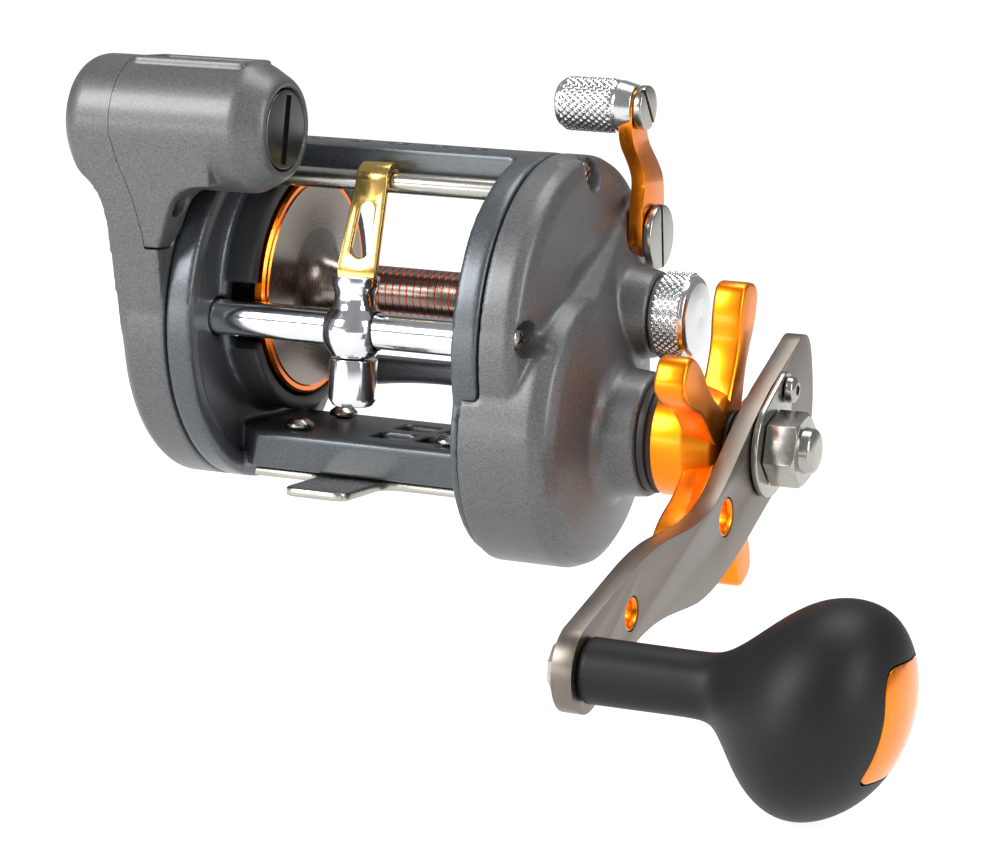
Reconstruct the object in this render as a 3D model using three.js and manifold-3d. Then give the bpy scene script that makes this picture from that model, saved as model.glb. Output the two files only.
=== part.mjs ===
// Line-counter trolling reel, left-hand wind, in millimetres.
// Origin: centre of the foot's underside. +X towards the crank, -Y towards the rod tip, +Z up.
import * as THREE from "three";
import { mergeVertices } from "three/addons/utils/BufferGeometryUtils.js";
import Module from "manifold-3d";

const wasm = await Module();
wasm.setup();

// ---------------------------------------------------------------- driving dimensions
const gap = 0.3; // between parts that touch or turn in each other
const wall = 2; // casing thickness
const detail = 0.45; // share of the full number of facets on round faces

const spoolAxis = { y: 4.5, z: 38.6 };
const ringRadius = 36;
const ringInnerX = 28.6; // half the clear width between the frame rings
const ringWidth = 5.7;
const ringDrop = { y: -5.7, z: -4.65 }; // ring centre, from the spool axis

const spoolRimRadius = 23;
const spoolArborRadius = 5;
const spoolRimWidth = 2.6;
const shaftRadius = 1.9;
const bearingRadius = 5;
const bearingWidth = 2.6;

const tubeRadius = 3.7; // levelwind guard tube
const tubeWall = 0.9;
const tubeSlotWidth = 3;
const wormRadius = 2.1;
const wormDrop = { y: -26.8, z: -5 }; // from the spool axis
const rodRadius = 2.1; // rod that steadies the line guide
const rodDrop = { y: -17.5, z: 24 };
const carriageX = 0.8;
const carriageRadius = 6.7;
const collarRadius = 4.75;

const footLength = 64;
const footWidth = 51;
const footToeWidth = 14;
const footToeX = -2.5;
const footThickness = 1.8;
const footScrewSpacing = { x: 34.3, y: 20.3 };
const platformTop = 10.1;
const platformDepth = 33.5;

const gearModule = 1;
const mainTeeth = 42;
const pinionTeeth = 10;
const driveAngle = 238.6; // direction from the spool axis to the drive axis, from +Y towards +Z
const wormDriveTeeth = 26;
const wormTeeth = 12;
const driveShaftRadius = 3;

const gearCaseRadius = 28.2;
const gearCaseDepth = 16.4; // from the ring's outer face
const plateDepth = 9; // side plates, from the rings' outer faces
const leftPlateDepth = 11;
const spoolBossDepth = 21.6;
const spoolBossRadius = 13.5;
const driveBossDepth = 27;
const driveBossRadius = 11.9;
const castKnobRadius = 9;
const castKnobLength = 7.5;

const starRadius = 31;
const starHubRadius = 11.5;
const crankLength = 92;
const crankAngle = 197.4; // direction from the drive axis to the knob axis
const crankThickness = 3.8;
const crankHoleRadius = 3.3;
const knobNeckRadius = 5.9;
const knobBulbRadius = 19.2;
const knobNeckLength = 21.8;
const knobBulbLength = 36;

const leverThickness = 3;
const leverPivot = { y: 11, z: 14.5 }; // from the spool axis
const leverThrow = 50; // degrees
const leverGripRadius = 5.5;
const leverGripLength = 13.6;

const counterRadius = 13.05;
const counterAngle = 127.7; // direction from the ring centre to the counter axis
const counterClearance = 0.5;
const counterRight = -11; // right-hand end face
const counterSeam = -44.1;
const counterLeft = -56;
const capRadius = 8;
const wheelRadius = 9.4;
const wheelWidth = 6.6;

// ---------------------------------------------------------------- places worked out from them
const degree = Math.PI / 180;
const shift = (axis, y, z) => ({ y: axis.y + y, z: axis.z + z });
const polar = (axis, radius, angle) =>
  shift(axis, radius * Math.cos(angle * degree), radius * Math.sin(angle * degree));
const distance = (a, b) => Math.hypot(a.y - b.y, a.z - b.z);
const heading = (a, b) => Math.atan2(b.z - a.z, b.y - a.y) / degree;

const ringAxis = shift(spoolAxis, ringDrop.y, ringDrop.z);
const ringOuterX = ringInnerX + ringWidth;
const wormAxis = shift(spoolAxis, wormDrop.y, wormDrop.z);
const rodAxis = shift(spoolAxis, rodDrop.y, rodDrop.z);
const pivotAxis = shift(spoolAxis, leverPivot.y, leverPivot.z);
const gearDistance = (gearModule * (mainTeeth + pinionTeeth)) / 2;
const driveAxis = polar(spoolAxis, gearDistance, driveAngle);
const counterAxis = polar(ringAxis, ringRadius + counterRadius + counterClearance, counterAngle);
const plateX = ringOuterX + gap;
const plateFaceX = ringOuterX + plateDepth;
const leftFaceX = -ringOuterX - leftPlateDepth;
const caseFaceX = ringOuterX + gearCaseDepth;
const spoolBossX = ringOuterX + spoolBossDepth;
const driveBossX = ringOuterX + driveBossDepth;
const rimOuterX = ringInnerX - 4;
const rimInnerX = rimOuterX - spoolRimWidth;
const starX = driveBossX + 3;
const crankX = starX + 16.3;

// ---------------------------------------------------------------- materials
const finish = (color, metalness, roughness) =>
  new THREE.MeshStandardMaterial({ color, metalness, roughness });
const gunmetal = finish(0x5d5d60, 0.7, 0.45);
const slate = finish(0x3c4043, 0.6, 0.45);
const orange = finish(0xf08a12, 0.8, 0.3);
const gold = finish(0xc99a2e, 0.9, 0.28);
const chrome = finish(0xd8dadc, 1, 0.08);
const steel = finish(0xa9a59c, 0.95, 0.32);
const brushed = finish(0x8b8680, 0.9, 0.38);
const brass = finish(0xb4934a, 0.9, 0.35);
const softBlack = finish(0x1d1e20, 0, 0.75);
const black = finish(0x17181a, 0.1, 0.6);
const white = finish(0xe8e6de, 0, 0.5);
const glass = finish(0xcfd6d8, 0, 0.1);

// ---------------------------------------------------------------- solids
const alongX = new THREE.Matrix4().makeBasis(
  new THREE.Vector3(0, 1, 0), new THREE.Vector3(0, 0, 1), new THREE.Vector3(1, 0, 0));
const alongY = new THREE.Matrix4().makeBasis(
  new THREE.Vector3(1, 0, 0), new THREE.Vector3(0, 0, 1), new THREE.Vector3(0, -1, 0));
const turnX = new THREE.Matrix4().makeBasis(
  new THREE.Vector3(0, 0, 1), new THREE.Vector3(1, 0, 0), new THREE.Vector3(0, 1, 0));
const turnZ = new THREE.Matrix4().makeRotationX(Math.PI / 2);

// A closed geometry as a solid, with its faces turned outwards.
function solid(geometry) {
  const bare = geometry.clone();
  bare.deleteAttribute("normal");
  bare.deleteAttribute("uv");
  const merged = mergeVertices(bare, 1e-4);
  const position = merged.attributes.position;
  const corner = [0, 1, 2].map(() => new THREE.Vector3());
  const faces = [];
  let volume = 0;
  for (let i = 0; i < merged.index.count; i += 3) {
    const face = [0, 1, 2].map((k) => merged.index.getX(i + k));
    if (new Set(face).size < 3) continue;
    face.forEach((vertex, k) => corner[k].fromBufferAttribute(position, vertex));
    volume += corner[0].dot(corner[1].clone().cross(corner[2]));
    faces.push(face);
  }
  if (volume < 0) faces.forEach((face) => face.reverse());
  const vertProperties = new Float32Array(position.array);
  const triVerts = new Uint32Array(faces.flat());
  return new wasm.Manifold(new wasm.Mesh({ numProp: 3, vertProperties, triVerts }));
}

// Corners given as [u, v] pairs, or a circle given as { y, z, radius }, as a shape.
function outline(points) {
  const shape = new THREE.Shape();
  if (Array.isArray(points)) points.forEach(([u, v], i) => (i ? shape.lineTo(u, v) : shape.moveTo(u, v)));
  else shape.absarc(points.y, points.z, points.radius, 0, 2 * Math.PI);
  return shape;
}

function extruded(shape, depth, segments) {
  const curveSegments = Math.max(2, Math.round(segments * detail));
  return new THREE.ExtrudeGeometry(shape, { depth, bevelEnabled: false, curveSegments });
}

// Slabs drawn square to X (in Y, Z), to Y (in X, Z) and to Z (in X, Y).
function slabX(shape, x0, x1, segments = 16) {
  return solid(extruded(shape, x1 - x0, segments).applyMatrix4(alongX).translate(x0, 0, 0));
}
function slabY(shape, y0, y1, segments = 16) {
  return solid(extruded(shape, y1 - y0, segments).applyMatrix4(alongY).translate(0, y1, 0));
}
function slabZ(shape, z0, z1, segments = 16) {
  return solid(extruded(shape, z1 - z0, segments).translate(0, 0, z0));
}
function block(x0, x1, y0, y1, z0, z1) {
  return slabX(outline([[y0, z0], [y1, z0], [y1, z1], [y0, z1]]), x0, x1);
}

function lathe(points, segments) {
  return new THREE.LatheGeometry(points, Math.max(6, Math.round(segments * detail)));
}
// A profile of [x, radius] pairs turned about a line parallel to X.
function turned(profile, axis = { y: 0, z: 0 }, segments = 32) {
  const points = profile.map(([x, radius]) => new THREE.Vector2(radius, x));
  if (profile[0][1] > 0) points.push(points[0].clone());
  return solid(lathe(points, segments).applyMatrix4(turnX).translate(0, axis.y, axis.z));
}
// A profile of [z, radius] pairs turned about a vertical line.
function turnedZ(profile, x, y, segments = 24) {
  const points = profile.map(([z, radius]) => new THREE.Vector2(radius, z));
  if (profile[0][1] > 0) points.push(points[0].clone());
  return solid(lathe(points, segments).applyMatrix4(turnZ).translate(x, y, 0));
}
function rod(x0, x1, radius, axis, segments = 24) {
  return turned([[x0, 0], [x0, radius], [x1, radius], [x1, 0]], axis, segments);
}
function sleeve(x0, x1, outer, inner, axis, segments = 32) {
  return turned([[x0, inner], [x0, outer], [x1, outer], [x1, inner]], axis, segments);
}

// The outline round two circles, as a belt runs round two pulleys.
function belt(a, radiusA, b, radiusB, steps = 10) {
  const reach = distance(a, b);
  const along = heading(a, b);
  const lean = Math.acos((radiusA - radiusB) / reach) / degree;
  const points = [];
  for (let i = 0; i <= steps; i++) {
    const spot = polar(b, radiusB, along - lean + (2 * lean * i) / steps);
    points.push([spot.y, spot.z]);
  }
  for (let i = 0; i <= steps; i++) {
    const spot = polar(a, radiusA, along + lean + ((360 - 2 * lean) * i) / steps);
    points.push([spot.y, spot.z]);
  }
  return outline(points);
}

// A spur gear's outline. Involute flanks, with a tooth centred on the direction phase.
const toothShare = 0.43; // of the pitch, at the pitch circle
function gearOutline(teeth, module, bore, phase) {
  const pitch = (module * teeth) / 2;
  const base = pitch * Math.cos(20 * degree);
  const involute = (radius) => {
    const angle = Math.acos(Math.min(1, base / Math.max(radius, base)));
    return Math.tan(angle) - angle;
  };
  const halfPitch = (Math.PI * toothShare) / teeth + involute(pitch);
  const root = pitch - 1.25 * module;
  const tip = pitch + 0.85 * module;
  const radii = teeth > 14 ? [root, tip] : [root, pitch, tip];
  const points = [];
  for (let tooth = 0; tooth < teeth; tooth++) {
    const centre = phase * degree + (2 * Math.PI * tooth) / teeth;
    const flank = radii.map((radius) => [radius, halfPitch - involute(radius)]);
    flank.forEach(([radius, half]) => points.push([radius, centre - half]));
    [...flank].reverse().forEach(([radius, half]) => points.push([radius, centre + half]));
  }
  const shape = outline(points.map(([radius, angle]) => [radius * Math.cos(angle), radius * Math.sin(angle)]));
  shape.holes.push(outline({ y: 0, z: 0, radius: bore }));
  return shape;
}

const hexagon = (acrossFlats, phase = 0) =>
  outline([0, 1, 2, 3, 4, 5].map((corner) => {
    const spot = polar({ y: 0, z: 0 }, acrossFlats / 2 / Math.cos(30 * degree), corner * 60 + phase);
    return [spot.y, spot.z];
  }));

const axisGroups = new Map();
const reel = new THREE.Group();
// Parts that turn about one line hang in one group that stands on that line.
function axisGroup(axis) {
  const key = `${axis.y},${axis.z}`;
  if (!axisGroups.has(key)) {
    const group = new THREE.Group();
    group.position.set(0, axis.y, axis.z);
    reel.add(group);
    axisGroups.set(key, group);
  }
  return axisGroups.get(key);
}
function add(name, material, body, parent = reel) {
  const { numProp, vertProperties, triVerts } = body.getMesh();
  const geometry = new THREE.BufferGeometry();
  const positions = new Float32Array((vertProperties.length / numProp) * 3);
  for (let i = 0; i < positions.length; i++) {
    positions[i] = vertProperties[Math.floor(i / 3) * numProp + (i % 3)];
  }
  geometry.setAttribute("position", new THREE.BufferAttribute(positions, 3));
  geometry.setIndex([...triVerts]);
  geometry.computeVertexNormals();
  const mesh = new THREE.Mesh(geometry, material);
  mesh.name = name;
  parent.add(mesh);
  return mesh;
}

// ---------------------------------------------------------------- frame
const flangeHoleRadius = spoolRimRadius + 0.6;
const shroudRadius = flangeHoleRadius + 3;
const driveLobeRadius = gearCaseRadius - 1.2;
const platformFront = spoolAxis.y - 21.5;
const platformBack = platformFront + platformDepth;
const platformBottom = footThickness + gap;

function frameRing(side) {
  const at = (x) => side * x;
  const between = (x0, x1) => [Math.min(at(x0), at(x1)), Math.max(at(x0), at(x1))];
  const disc = turned([[at(ringInnerX), 0], [at(ringInnerX), ringRadius - 0.7],
    [at(ringInnerX + 0.7), ringRadius], [at(ringOuterX), ringRadius], [at(ringOuterX), 0]], ringAxis, 56);
  const shroud = sleeve(...between(rimInnerX + 0.8, ringInnerX + 0.5), shroudRadius, flangeHoleRadius,
    spoolAxis, 48);
  return disc.add(shroud);
}
const topBarFront = spoolAxis.y - 13.1;
const topBarBack = spoolAxis.y - 1.5;
const topBar = block(-ringInnerX - 1, ringInnerX + 1, topBarFront, topBarBack,
  ringAxis.z + ringRadius - 6.5, ringAxis.z + ringRadius + 3)
  .intersect(rod(-ringOuterX, ringOuterX, ringRadius, ringAxis, 56));
const backBarTop = spoolAxis.z - 17;
const archRise = 4;
const backBarOutline = new THREE.Shape();
backBarOutline.moveTo(-ringInnerX - 1, backBarTop);
backBarOutline.lineTo(-ringInnerX - 1, backBarTop - 9);
backBarOutline.quadraticCurveTo(0, backBarTop - 9 + 2 * archRise, ringInnerX + 1, backBarTop - 9);
backBarOutline.lineTo(ringInnerX + 1, backBarTop);
const backBar = slabY(backBarOutline, ringAxis.y + 25.5, ringAxis.y + 30, 12)
  .intersect(rod(-ringOuterX, ringOuterX, ringRadius, ringAxis, 56));
const platform = slabX(outline([[platformFront + 1.5, platformBottom], [platformBack, platformBottom],
  [platformBack, platformTop - 1], [platformBack - 1, platformTop], [platformFront + 1, platformTop],
  [platformFront, platformTop - 1]]), -ringInnerX - 1, ringInnerX + 1);
const lobeStepX = ringInnerX + 2; // the casing's skirt covers the lobe from here on
const driveLobe = turned([[ringInnerX, 0], [ringInnerX, driveLobeRadius - 0.8],
  [ringInnerX + 0.8, driveLobeRadius], [lobeStepX, driveLobeRadius], [lobeStepX, driveLobeRadius - wall],
  [ringOuterX, driveLobeRadius - wall], [ringOuterX, 0]], driveAxis, 48);
const webX = ringOuterX - 2.8; // thin wall behind the spool's right-hand rim
const platformTaper = slabZ(outline([[-ringInnerX - 2, platformFront - 1], [-22, platformFront - 1],
  [-ringInnerX - 2, platformFront + 8]]), 0, platformTop + 1);
let frame = frameRing(-1).add(frameRing(1)).add(topBar).add(backBar)
  .add(platform.subtract(platformTaper)).add(driveLobe)
  .subtract(rod(-ringOuterX - 1, -ringInnerX + 1, flangeHoleRadius, spoolAxis, 48))
  .subtract(rod(-ringInnerX, webX, flangeHoleRadius, spoolAxis, 48))
  .subtract(rod(webX - 1, ringOuterX + 1, bearingRadius + gap, spoolAxis, 24))
  .subtract(rod(-ringOuterX - 1, ringOuterX + 1, tubeRadius + gap, wormAxis, 24))
  .subtract(rod(-ringInnerX, ringInnerX, carriageRadius + 2 * gap, wormAxis, 32))
  .subtract(rod(-ringOuterX + 1, ringOuterX - 1, rodRadius + gap, rodAxis, 20))
  .subtract(rod(ringInnerX - 1, ringOuterX + 1, driveShaftRadius + gap, driveAxis, 24));
const barHolePitch = 9;
const barHoleRadius = 1.7;
for (let i = -2; i <= 2; i++) {
  const hole = turnedZ([[ringAxis.z + ringRadius - 2.5, 0], [ringAxis.z + ringRadius - 2.5, barHoleRadius],
    [ringAxis.z + ringRadius + 2, barHoleRadius], [ringAxis.z + ringRadius + 2, 0]],
    i * barHolePitch, (topBarFront + topBarBack) / 2, 12);
  frame = frame.subtract(hole);
}
const pocketPlaces = [[13, -6.5], [2.5, -6.5], [2.5, 5.5], [13, 5.5]];
for (const [x, y] of pocketPlaces) {
  frame = frame.subtract(block(x - 4, x + 4, y - 3.6, y + 3.6, platformTop - 2.5, platformTop + 1));
}

// ---------------------------------------------------------------- foot and its screws
const toe = footToeWidth / 2;
const footHalf = footLength / 2;
const stripHalf = platformDepth / 2 - 3;
const footOutline = new THREE.Shape();
footOutline.moveTo(-footWidth / 2, -stripHalf);
for (const side of [1, -1]) {
  // Half way round the plate: along one long edge of the strip and out round its toe.
  const corner = (x0, y0, x1, y1) => footOutline.quadraticCurveTo(footToeX + side * x0, side * y0,
    footToeX + side * x1, side * y1);
  footOutline.lineTo(footToeX - side * (toe + 4), -side * stripHalf);
  corner(-toe, -stripHalf, -toe, -stripHalf - 4);
  footOutline.lineTo(footToeX - side * toe, side * (3 - footHalf));
  corner(-toe, -footHalf, 3 - toe, -footHalf);
  footOutline.lineTo(footToeX + side * (toe - 3), -side * footHalf);
  corner(toe, -footHalf, toe, 3 - footHalf);
  footOutline.lineTo(footToeX + side * toe, -side * (stripHalf + 4));
  corner(toe, -stripHalf, toe + 4, -stripHalf);
  footOutline.lineTo((side * footWidth) / 2, -side * stripHalf);
  footOutline.lineTo((side * footWidth) / 2, side * stripHalf);
}
let foot = slabZ(footOutline, 0, footThickness, 5);
const footScrewRadius = 1.5;
const screwPlaces = [[-1, -1], [1, -1], [1, 1], [-1, 1]].map(([x, y]) => [
  (x * footScrewSpacing.x) / 2, (y * footScrewSpacing.y) / 2]);
screwPlaces.forEach(([x, y], i) => {
  const hole = turnedZ([[-1, 0], [-1, footScrewRadius + gap], [platformTop + 3, footScrewRadius + gap],
    [platformTop + 3, 0]], x, y, 12);
  foot = foot.subtract(hole);
  frame = frame.subtract(hole);
  const headTop = platformTop + gap + 1.9;
  const screw = turnedZ([[0.2, 0], [0.2, footScrewRadius], [platformTop + gap, footScrewRadius],
    [platformTop + gap, 3], [headTop - 0.8, 2.9], [headTop, 1.6], [headTop, 0]], x, y, 16)
    .subtract(turnedZ([[headTop - 0.7, 0], [headTop - 0.7, 0.9], [headTop + 1, 0.9], [headTop + 1, 0]], x, y, 6));
  add(`foot_screw_${i + 1}`, steel, screw);
});
add("frame", slate, frame);
add("reel_foot", steel, foot);

// ---------------------------------------------------------------- spool
const spoolGroup = axisGroup(spoolAxis);
const hubEnd = rimOuterX + 4.5;
const spool = turned([
  [-hubEnd, shaftRadius + gap], [-hubEnd, 4], [-rimOuterX, 4], [-rimOuterX, spoolRimRadius - 0.6],
  [-rimOuterX + 0.6, spoolRimRadius], [-rimInnerX - 0.5, spoolRimRadius], [-rimInnerX, spoolRimRadius - 2],
  [-rimInnerX + 0.5, 9.5], [-rimInnerX + 2.5, 8], [-rimInnerX + 4.5, 6.4], [-rimInnerX + 6.5, spoolArborRadius],
  [rimInnerX - 6.5, spoolArborRadius], [rimInnerX - 4.5, 6.4], [rimInnerX - 2.5, 8], [rimInnerX - 0.5, 9.5],
  [rimInnerX, spoolRimRadius - 2], [rimInnerX + 0.5, spoolRimRadius], [rimOuterX - 0.6, spoolRimRadius],
  [rimOuterX, spoolRimRadius - 0.6], [rimOuterX, 4], [hubEnd, 4], [hubEnd, shaftRadius + gap],
], undefined, 48);
add("spool", orange, spool, spoolGroup);
const leftFloorX = leftFaceX + wall;
const counterPinionX = -plateX - 3;
const spoolShaft = rod(leftFloorX + 0.3, spoolBossX + gap + castKnobLength - 3, shaftRadius, undefined, 16);
add("spool_shaft", steel, spoolShaft, spoolGroup);
const leftBearingX = -plateX - bearingWidth - 0.2;
add("left_bearing", steel, sleeve(leftBearingX, -plateX - 0.2, bearingRadius, shaftRadius + gap,
  undefined, 24), spoolGroup);
add("right_bearing", steel, sleeve(webX + 0.1, webX + 0.1 + bearingWidth, bearingRadius, shaftRadius + gap,
  undefined, 24), spoolGroup);

// ---------------------------------------------------------------- gear train
const pinionStart = ringOuterX + 3.4;
const neckStart = pinionStart + 9;
const yokeX = neckStart + 0.3;
const yokeThickness = 1.2;
const yokeTravel = 1.5;
const pinionTurn = driveAngle + 180 / pinionTeeth;
const pinion = slabX(gearOutline(pinionTeeth, gearModule, shaftRadius + gap, pinionTurn), pinionStart, neckStart, 8)
  .add(sleeve(neckStart - 0.1, yokeX + yokeThickness + 0.5, 3, shaftRadius + gap, undefined, 20))
  .add(sleeve(yokeX + yokeThickness + 0.3, yokeX + yokeThickness + 1.6, 4.6, shaftRadius + gap, undefined, 20));
add("pinion", brass, pinion, spoolGroup);
const yokeOutline = outline({ y: 0, z: 0, radius: 7.4 });
yokeOutline.holes.push(outline({ y: 0, z: 0, radius: 3 + gap }));
add("clutch_yoke", steel, slabX(yokeOutline, yokeX, yokeX + yokeThickness, 10), spoolGroup);

const driveGroup = axisGroup(driveAxis);
const mainX = ringOuterX + 4.4;
const mainWidth = 3.6;
const driveBore = driveShaftRadius + gap;
add("main_gear", brass, slabX(gearOutline(mainTeeth, gearModule, driveBore, driveAngle + 180), mainX,
  mainX + mainWidth, 12), driveGroup);
const wormDistance = distance(driveAxis, wormAxis);
const wormModule = (2 * wormDistance) / (wormDriveTeeth + wormTeeth);
const wormHeading = heading(driveAxis, wormAxis);
const smallGearX = plateX + 0.6;
const smallGearWidth = 2;
add("worm_drive_gear", steel, slabX(gearOutline(wormDriveTeeth, wormModule, driveBore, wormHeading),
  smallGearX, smallGearX + smallGearWidth, 12), driveGroup);
const wormGroup = axisGroup(wormAxis);
const wormGearPhase = wormHeading + 180 + 180 / wormTeeth;
add("worm_gear", steel, slabX(gearOutline(wormTeeth, wormModule, 1.5 + gap, wormGearPhase), smallGearX,
  smallGearX + smallGearWidth, 8), wormGroup);
const washerX = mainX + mainWidth + gap;
add("drag_washer", black, sleeve(washerX, washerX + 1.5, 17, driveBore, undefined, 32), driveGroup);
const sleeveX = washerX + 1.5 + gap;
add("drag_sleeve", steel, sleeve(sleeveX, starX - gap, 5, driveBore, undefined, 20), driveGroup);
const nutX = crankX + crankThickness + gap + 1.3 + gap;
const nutThickness = 6.2;
const nutDome = 2.6;
const shaftEnd = nutX + nutThickness - 1.4;
const driveShaft = turned([[webX, 0], [webX, driveShaftRadius], [shaftEnd - 1.2, driveShaftRadius],
  [shaftEnd, driveShaftRadius - 1.4], [shaftEnd, 0]], undefined, 24);
add("drive_shaft", steel, driveShaft, driveGroup);

// ---------------------------------------------------------------- levelwind
const tubeSlot = block(-ringInnerX + 3, ringInnerX - 3, wormAxis.y - tubeSlotWidth / 2,
  wormAxis.y + tubeSlotWidth / 2, wormAxis.z - tubeRadius - 2, wormAxis.z);
const tube = sleeve(-ringOuterX + 0.5, ringOuterX - 0.5, tubeRadius, tubeRadius - tubeWall, wormAxis, 28)
  .subtract(tubeSlot);
add("levelwind_tube", chrome, tube);
add("worm_shaft", steel, turned([[-ringOuterX + 1, 0], [-ringOuterX + 1, 1.5], [-ringInnerX + 2, 1.5],
  [-ringInnerX + 2, wormRadius], [ringInnerX - 2, wormRadius], [ringInnerX - 2, 1.5],
  [smallGearX + smallGearWidth + 1, 1.5], [smallGearX + smallGearWidth + 1, 0]], undefined, 20), wormGroup);
add("guide_rod", steel, rod(-ringOuterX + 1.5, ringOuterX - 1.5, rodRadius, rodAxis, 20));

const bore = tubeRadius + gap;
const capTop = wormAxis.z - 5.9;
const capBottom = capTop - 9.6;
const carriageTop = wormAxis.z + 10.7;
const carriageProfile = [[-5.6, 4.1], [-4.4, 5], [-2.8, 6.1], [-0.8, carriageRadius], [1, carriageRadius - 0.1],
  [2.6, 6], [4, 4.9], [5.2, 4.35], [7, 4.2], [8.6, collarRadius]];
const carriage = turnedZ([[capTop + gap, 0], ...carriageProfile.map(([z, radius]) => [wormAxis.z + z, radius]),
  [carriageTop - 0.4, collarRadius], [carriageTop, collarRadius - 0.4], [carriageTop, 0]],
  carriageX, wormAxis.y, 28);
const guideThickness = 1.5;
const guideFoot = { y: wormAxis.y + 0.4, z: carriageTop };
const hookRadius = rodRadius + 0.5;
// The guide's side view: a strip that leans back from the carriage and hooks over the rod.
const hookSteps = 7;
const frontLine = [];
const backLine = [];
for (let i = 0; i <= hookSteps; i++) {
  const angle = 185 - (175 * i) / hookSteps;
  const outer = polar(rodAxis, hookRadius + guideThickness, angle);
  const inner = polar(rodAxis, hookRadius, angle);
  frontLine.push([outer.y, outer.z]);
  backLine.push([inner.y, inner.z]);
}
const guideSide = outline([
  [guideFoot.y - guideThickness / 2, guideFoot.z - 3], [guideFoot.y - guideThickness / 2, guideFoot.z + 1],
  ...frontLine, ...backLine.reverse(),
  [guideFoot.y + guideThickness / 2, guideFoot.z + 1], [guideFoot.y + guideThickness / 2, guideFoot.z - 3]]);
const guideFrontOutline = new THREE.Shape();
const guideHalf = { foot: 4.3, head: 3.2 };
guideFrontOutline.moveTo(carriageX - 3.6, guideFoot.z - 3);
guideFrontOutline.lineTo(carriageX - guideHalf.foot, guideFoot.z + 1.5);
guideFrontOutline.lineTo(carriageX - guideHalf.head, rodAxis.z + 6);
guideFrontOutline.lineTo(carriageX + guideHalf.head, rodAxis.z + 6);
guideFrontOutline.lineTo(carriageX + guideHalf.foot, guideFoot.z + 1.5);
guideFrontOutline.lineTo(carriageX + 3.6, guideFoot.z - 3);
const eyeRadius = { foot: 2.2, head: 1.8 };
const slotLow = guideFoot.z + 3.4;
const slotHigh = rodAxis.z - 5.4;
const eye = new THREE.Path();
eye.moveTo(carriageX - eyeRadius.foot, slotLow + eyeRadius.foot);
eye.absarc(carriageX, slotLow + eyeRadius.foot, eyeRadius.foot, Math.PI, 2 * Math.PI, false);
eye.lineTo(carriageX + eyeRadius.head, slotHigh);
eye.absarc(carriageX, slotHigh, eyeRadius.head, 0, Math.PI, false);
guideFrontOutline.holes.push(eye);
const guide = slabX(guideSide, carriageX - 6, carriageX + 6)
  .intersect(slabY(guideFrontOutline, guideFoot.y - 6, rodAxis.y + 8, 6));
const guideSocket = block(carriageX - 4.3, carriageX + 4.3, guideFoot.y - guideThickness / 2 - gap,
  guideFoot.y + guideThickness / 2 + gap, guideFoot.z - 3 - gap, guideFoot.z + 1);
const pawlRadius = 1.9;
const pawlTop = wormAxis.z - wormRadius - gap;
add("line_carriage", chrome, carriage
  .subtract(rod(carriageX - 8, carriageX + 8, bore, wormAxis, 28))
  .subtract(guideSocket)
  .subtract(turnedZ([[capTop - 1, 0], [capTop - 1, pawlRadius + gap], [wormAxis.z, pawlRadius + gap],
    [wormAxis.z, 0]], carriageX, wormAxis.y, 16)));
add("line_guide", gold, guide);
add("pawl_cap", chrome, turnedZ([[capBottom, 0], [capBottom, 3.9], [capBottom + 1.3, 4.85],
  [capTop, 4.85], [capTop, 0]], carriageX, wormAxis.y, 28));
add("pawl", brass, turnedZ([[capTop + gap, 0], [capTop + gap, pawlRadius],
  [wormAxis.z - tubeRadius - gap, pawlRadius], [wormAxis.z - tubeRadius - gap, tubeSlotWidth / 2 - gap],
  [pawlTop, tubeSlotWidth / 2 - gap], [pawlTop, 0]], carriageX, wormAxis.y, 16));

// ---------------------------------------------------------------- left side plate, arm and counter
// The joint between the arm and the counter's housing, seen from the front: [x, height above the counter axis].
const seamLine = [[counterSeam, 16], [counterSeam, -2], [-42.6, -8], [-41.5, -10.5], [-39.8, -15],
  [-38.2, -22], [-37.4, -29]];
const seamPoints = (offset) => seamLine.map(([x, z]) => [x + offset, counterAxis.z + z]);
const armBottom = spoolAxis.z - 14;
// The arm seen from the front: its left edge leans in from the counter to the side plate.
const armEdge = [[-45.1, -6], [-46.3, 13], [-46.8, 17], [-47.8, 20], [-49.8, 22.4], [-52.2, 24.2],
  [-54.4, 27.2], [-55.8, 31.5]].map(([x, z]) => [x, spoolAxis.z + z]);
const fingerFootZ = counterAxis.z - 24.8 - gap;
const armFront = outline([...seamPoints(0).slice(0, -1), [-37.86, fingerFootZ], [-plateX - gap, fingerFootZ],
  [-plateX - gap, armBottom], [leftFaceX, armBottom], ...armEdge,
  [counterLeft, spoolAxis.z + 34.5], [counterLeft, counterAxis.z + 12], [counterLeft + 4, counterAxis.z + 16]]);
const armFootCentre = shift(ringAxis, -16, 4);
const armFootRadius = 20.2;
const armSide = () => belt(armFootCentre, armFootRadius, counterAxis, counterRadius, 12);
const plateHollow = turned([[leftFloorX, 0], [leftFloorX, ringRadius - wall - gap - 2],
  [leftFloorX + 2, ringRadius - wall - gap], [-20, ringRadius - wall - gap], [-20, 0]], ringAxis, 56);
const ringSeat = rod(-plateX, 0, ringRadius + gap, ringAxis, 56);
const armBody = slabX(armSide(), counterLeft - 1, -30)
  .intersect(slabY(armFront, ringAxis.y - 60, ringAxis.y + 60));
const counterEndCut = turned([[counterLeft - 2, 0], [counterLeft - 2, 30], [counterLeft + 5, 30],
  [counterLeft + 5, counterRadius + 0.6], [counterLeft + 2.4, counterRadius - 0.6],
  [counterLeft + 0.8, counterRadius - 2.2], [counterLeft, counterRadius - 4.6], [counterLeft, 0]],
  counterAxis, 36);
const bodyFacing = block(counterLeft - 3, counterLeft + 8, counterAxis.y - 40, counterAxis.y + 60,
  counterAxis.z - counterRadius, counterAxis.z + 40);
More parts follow.
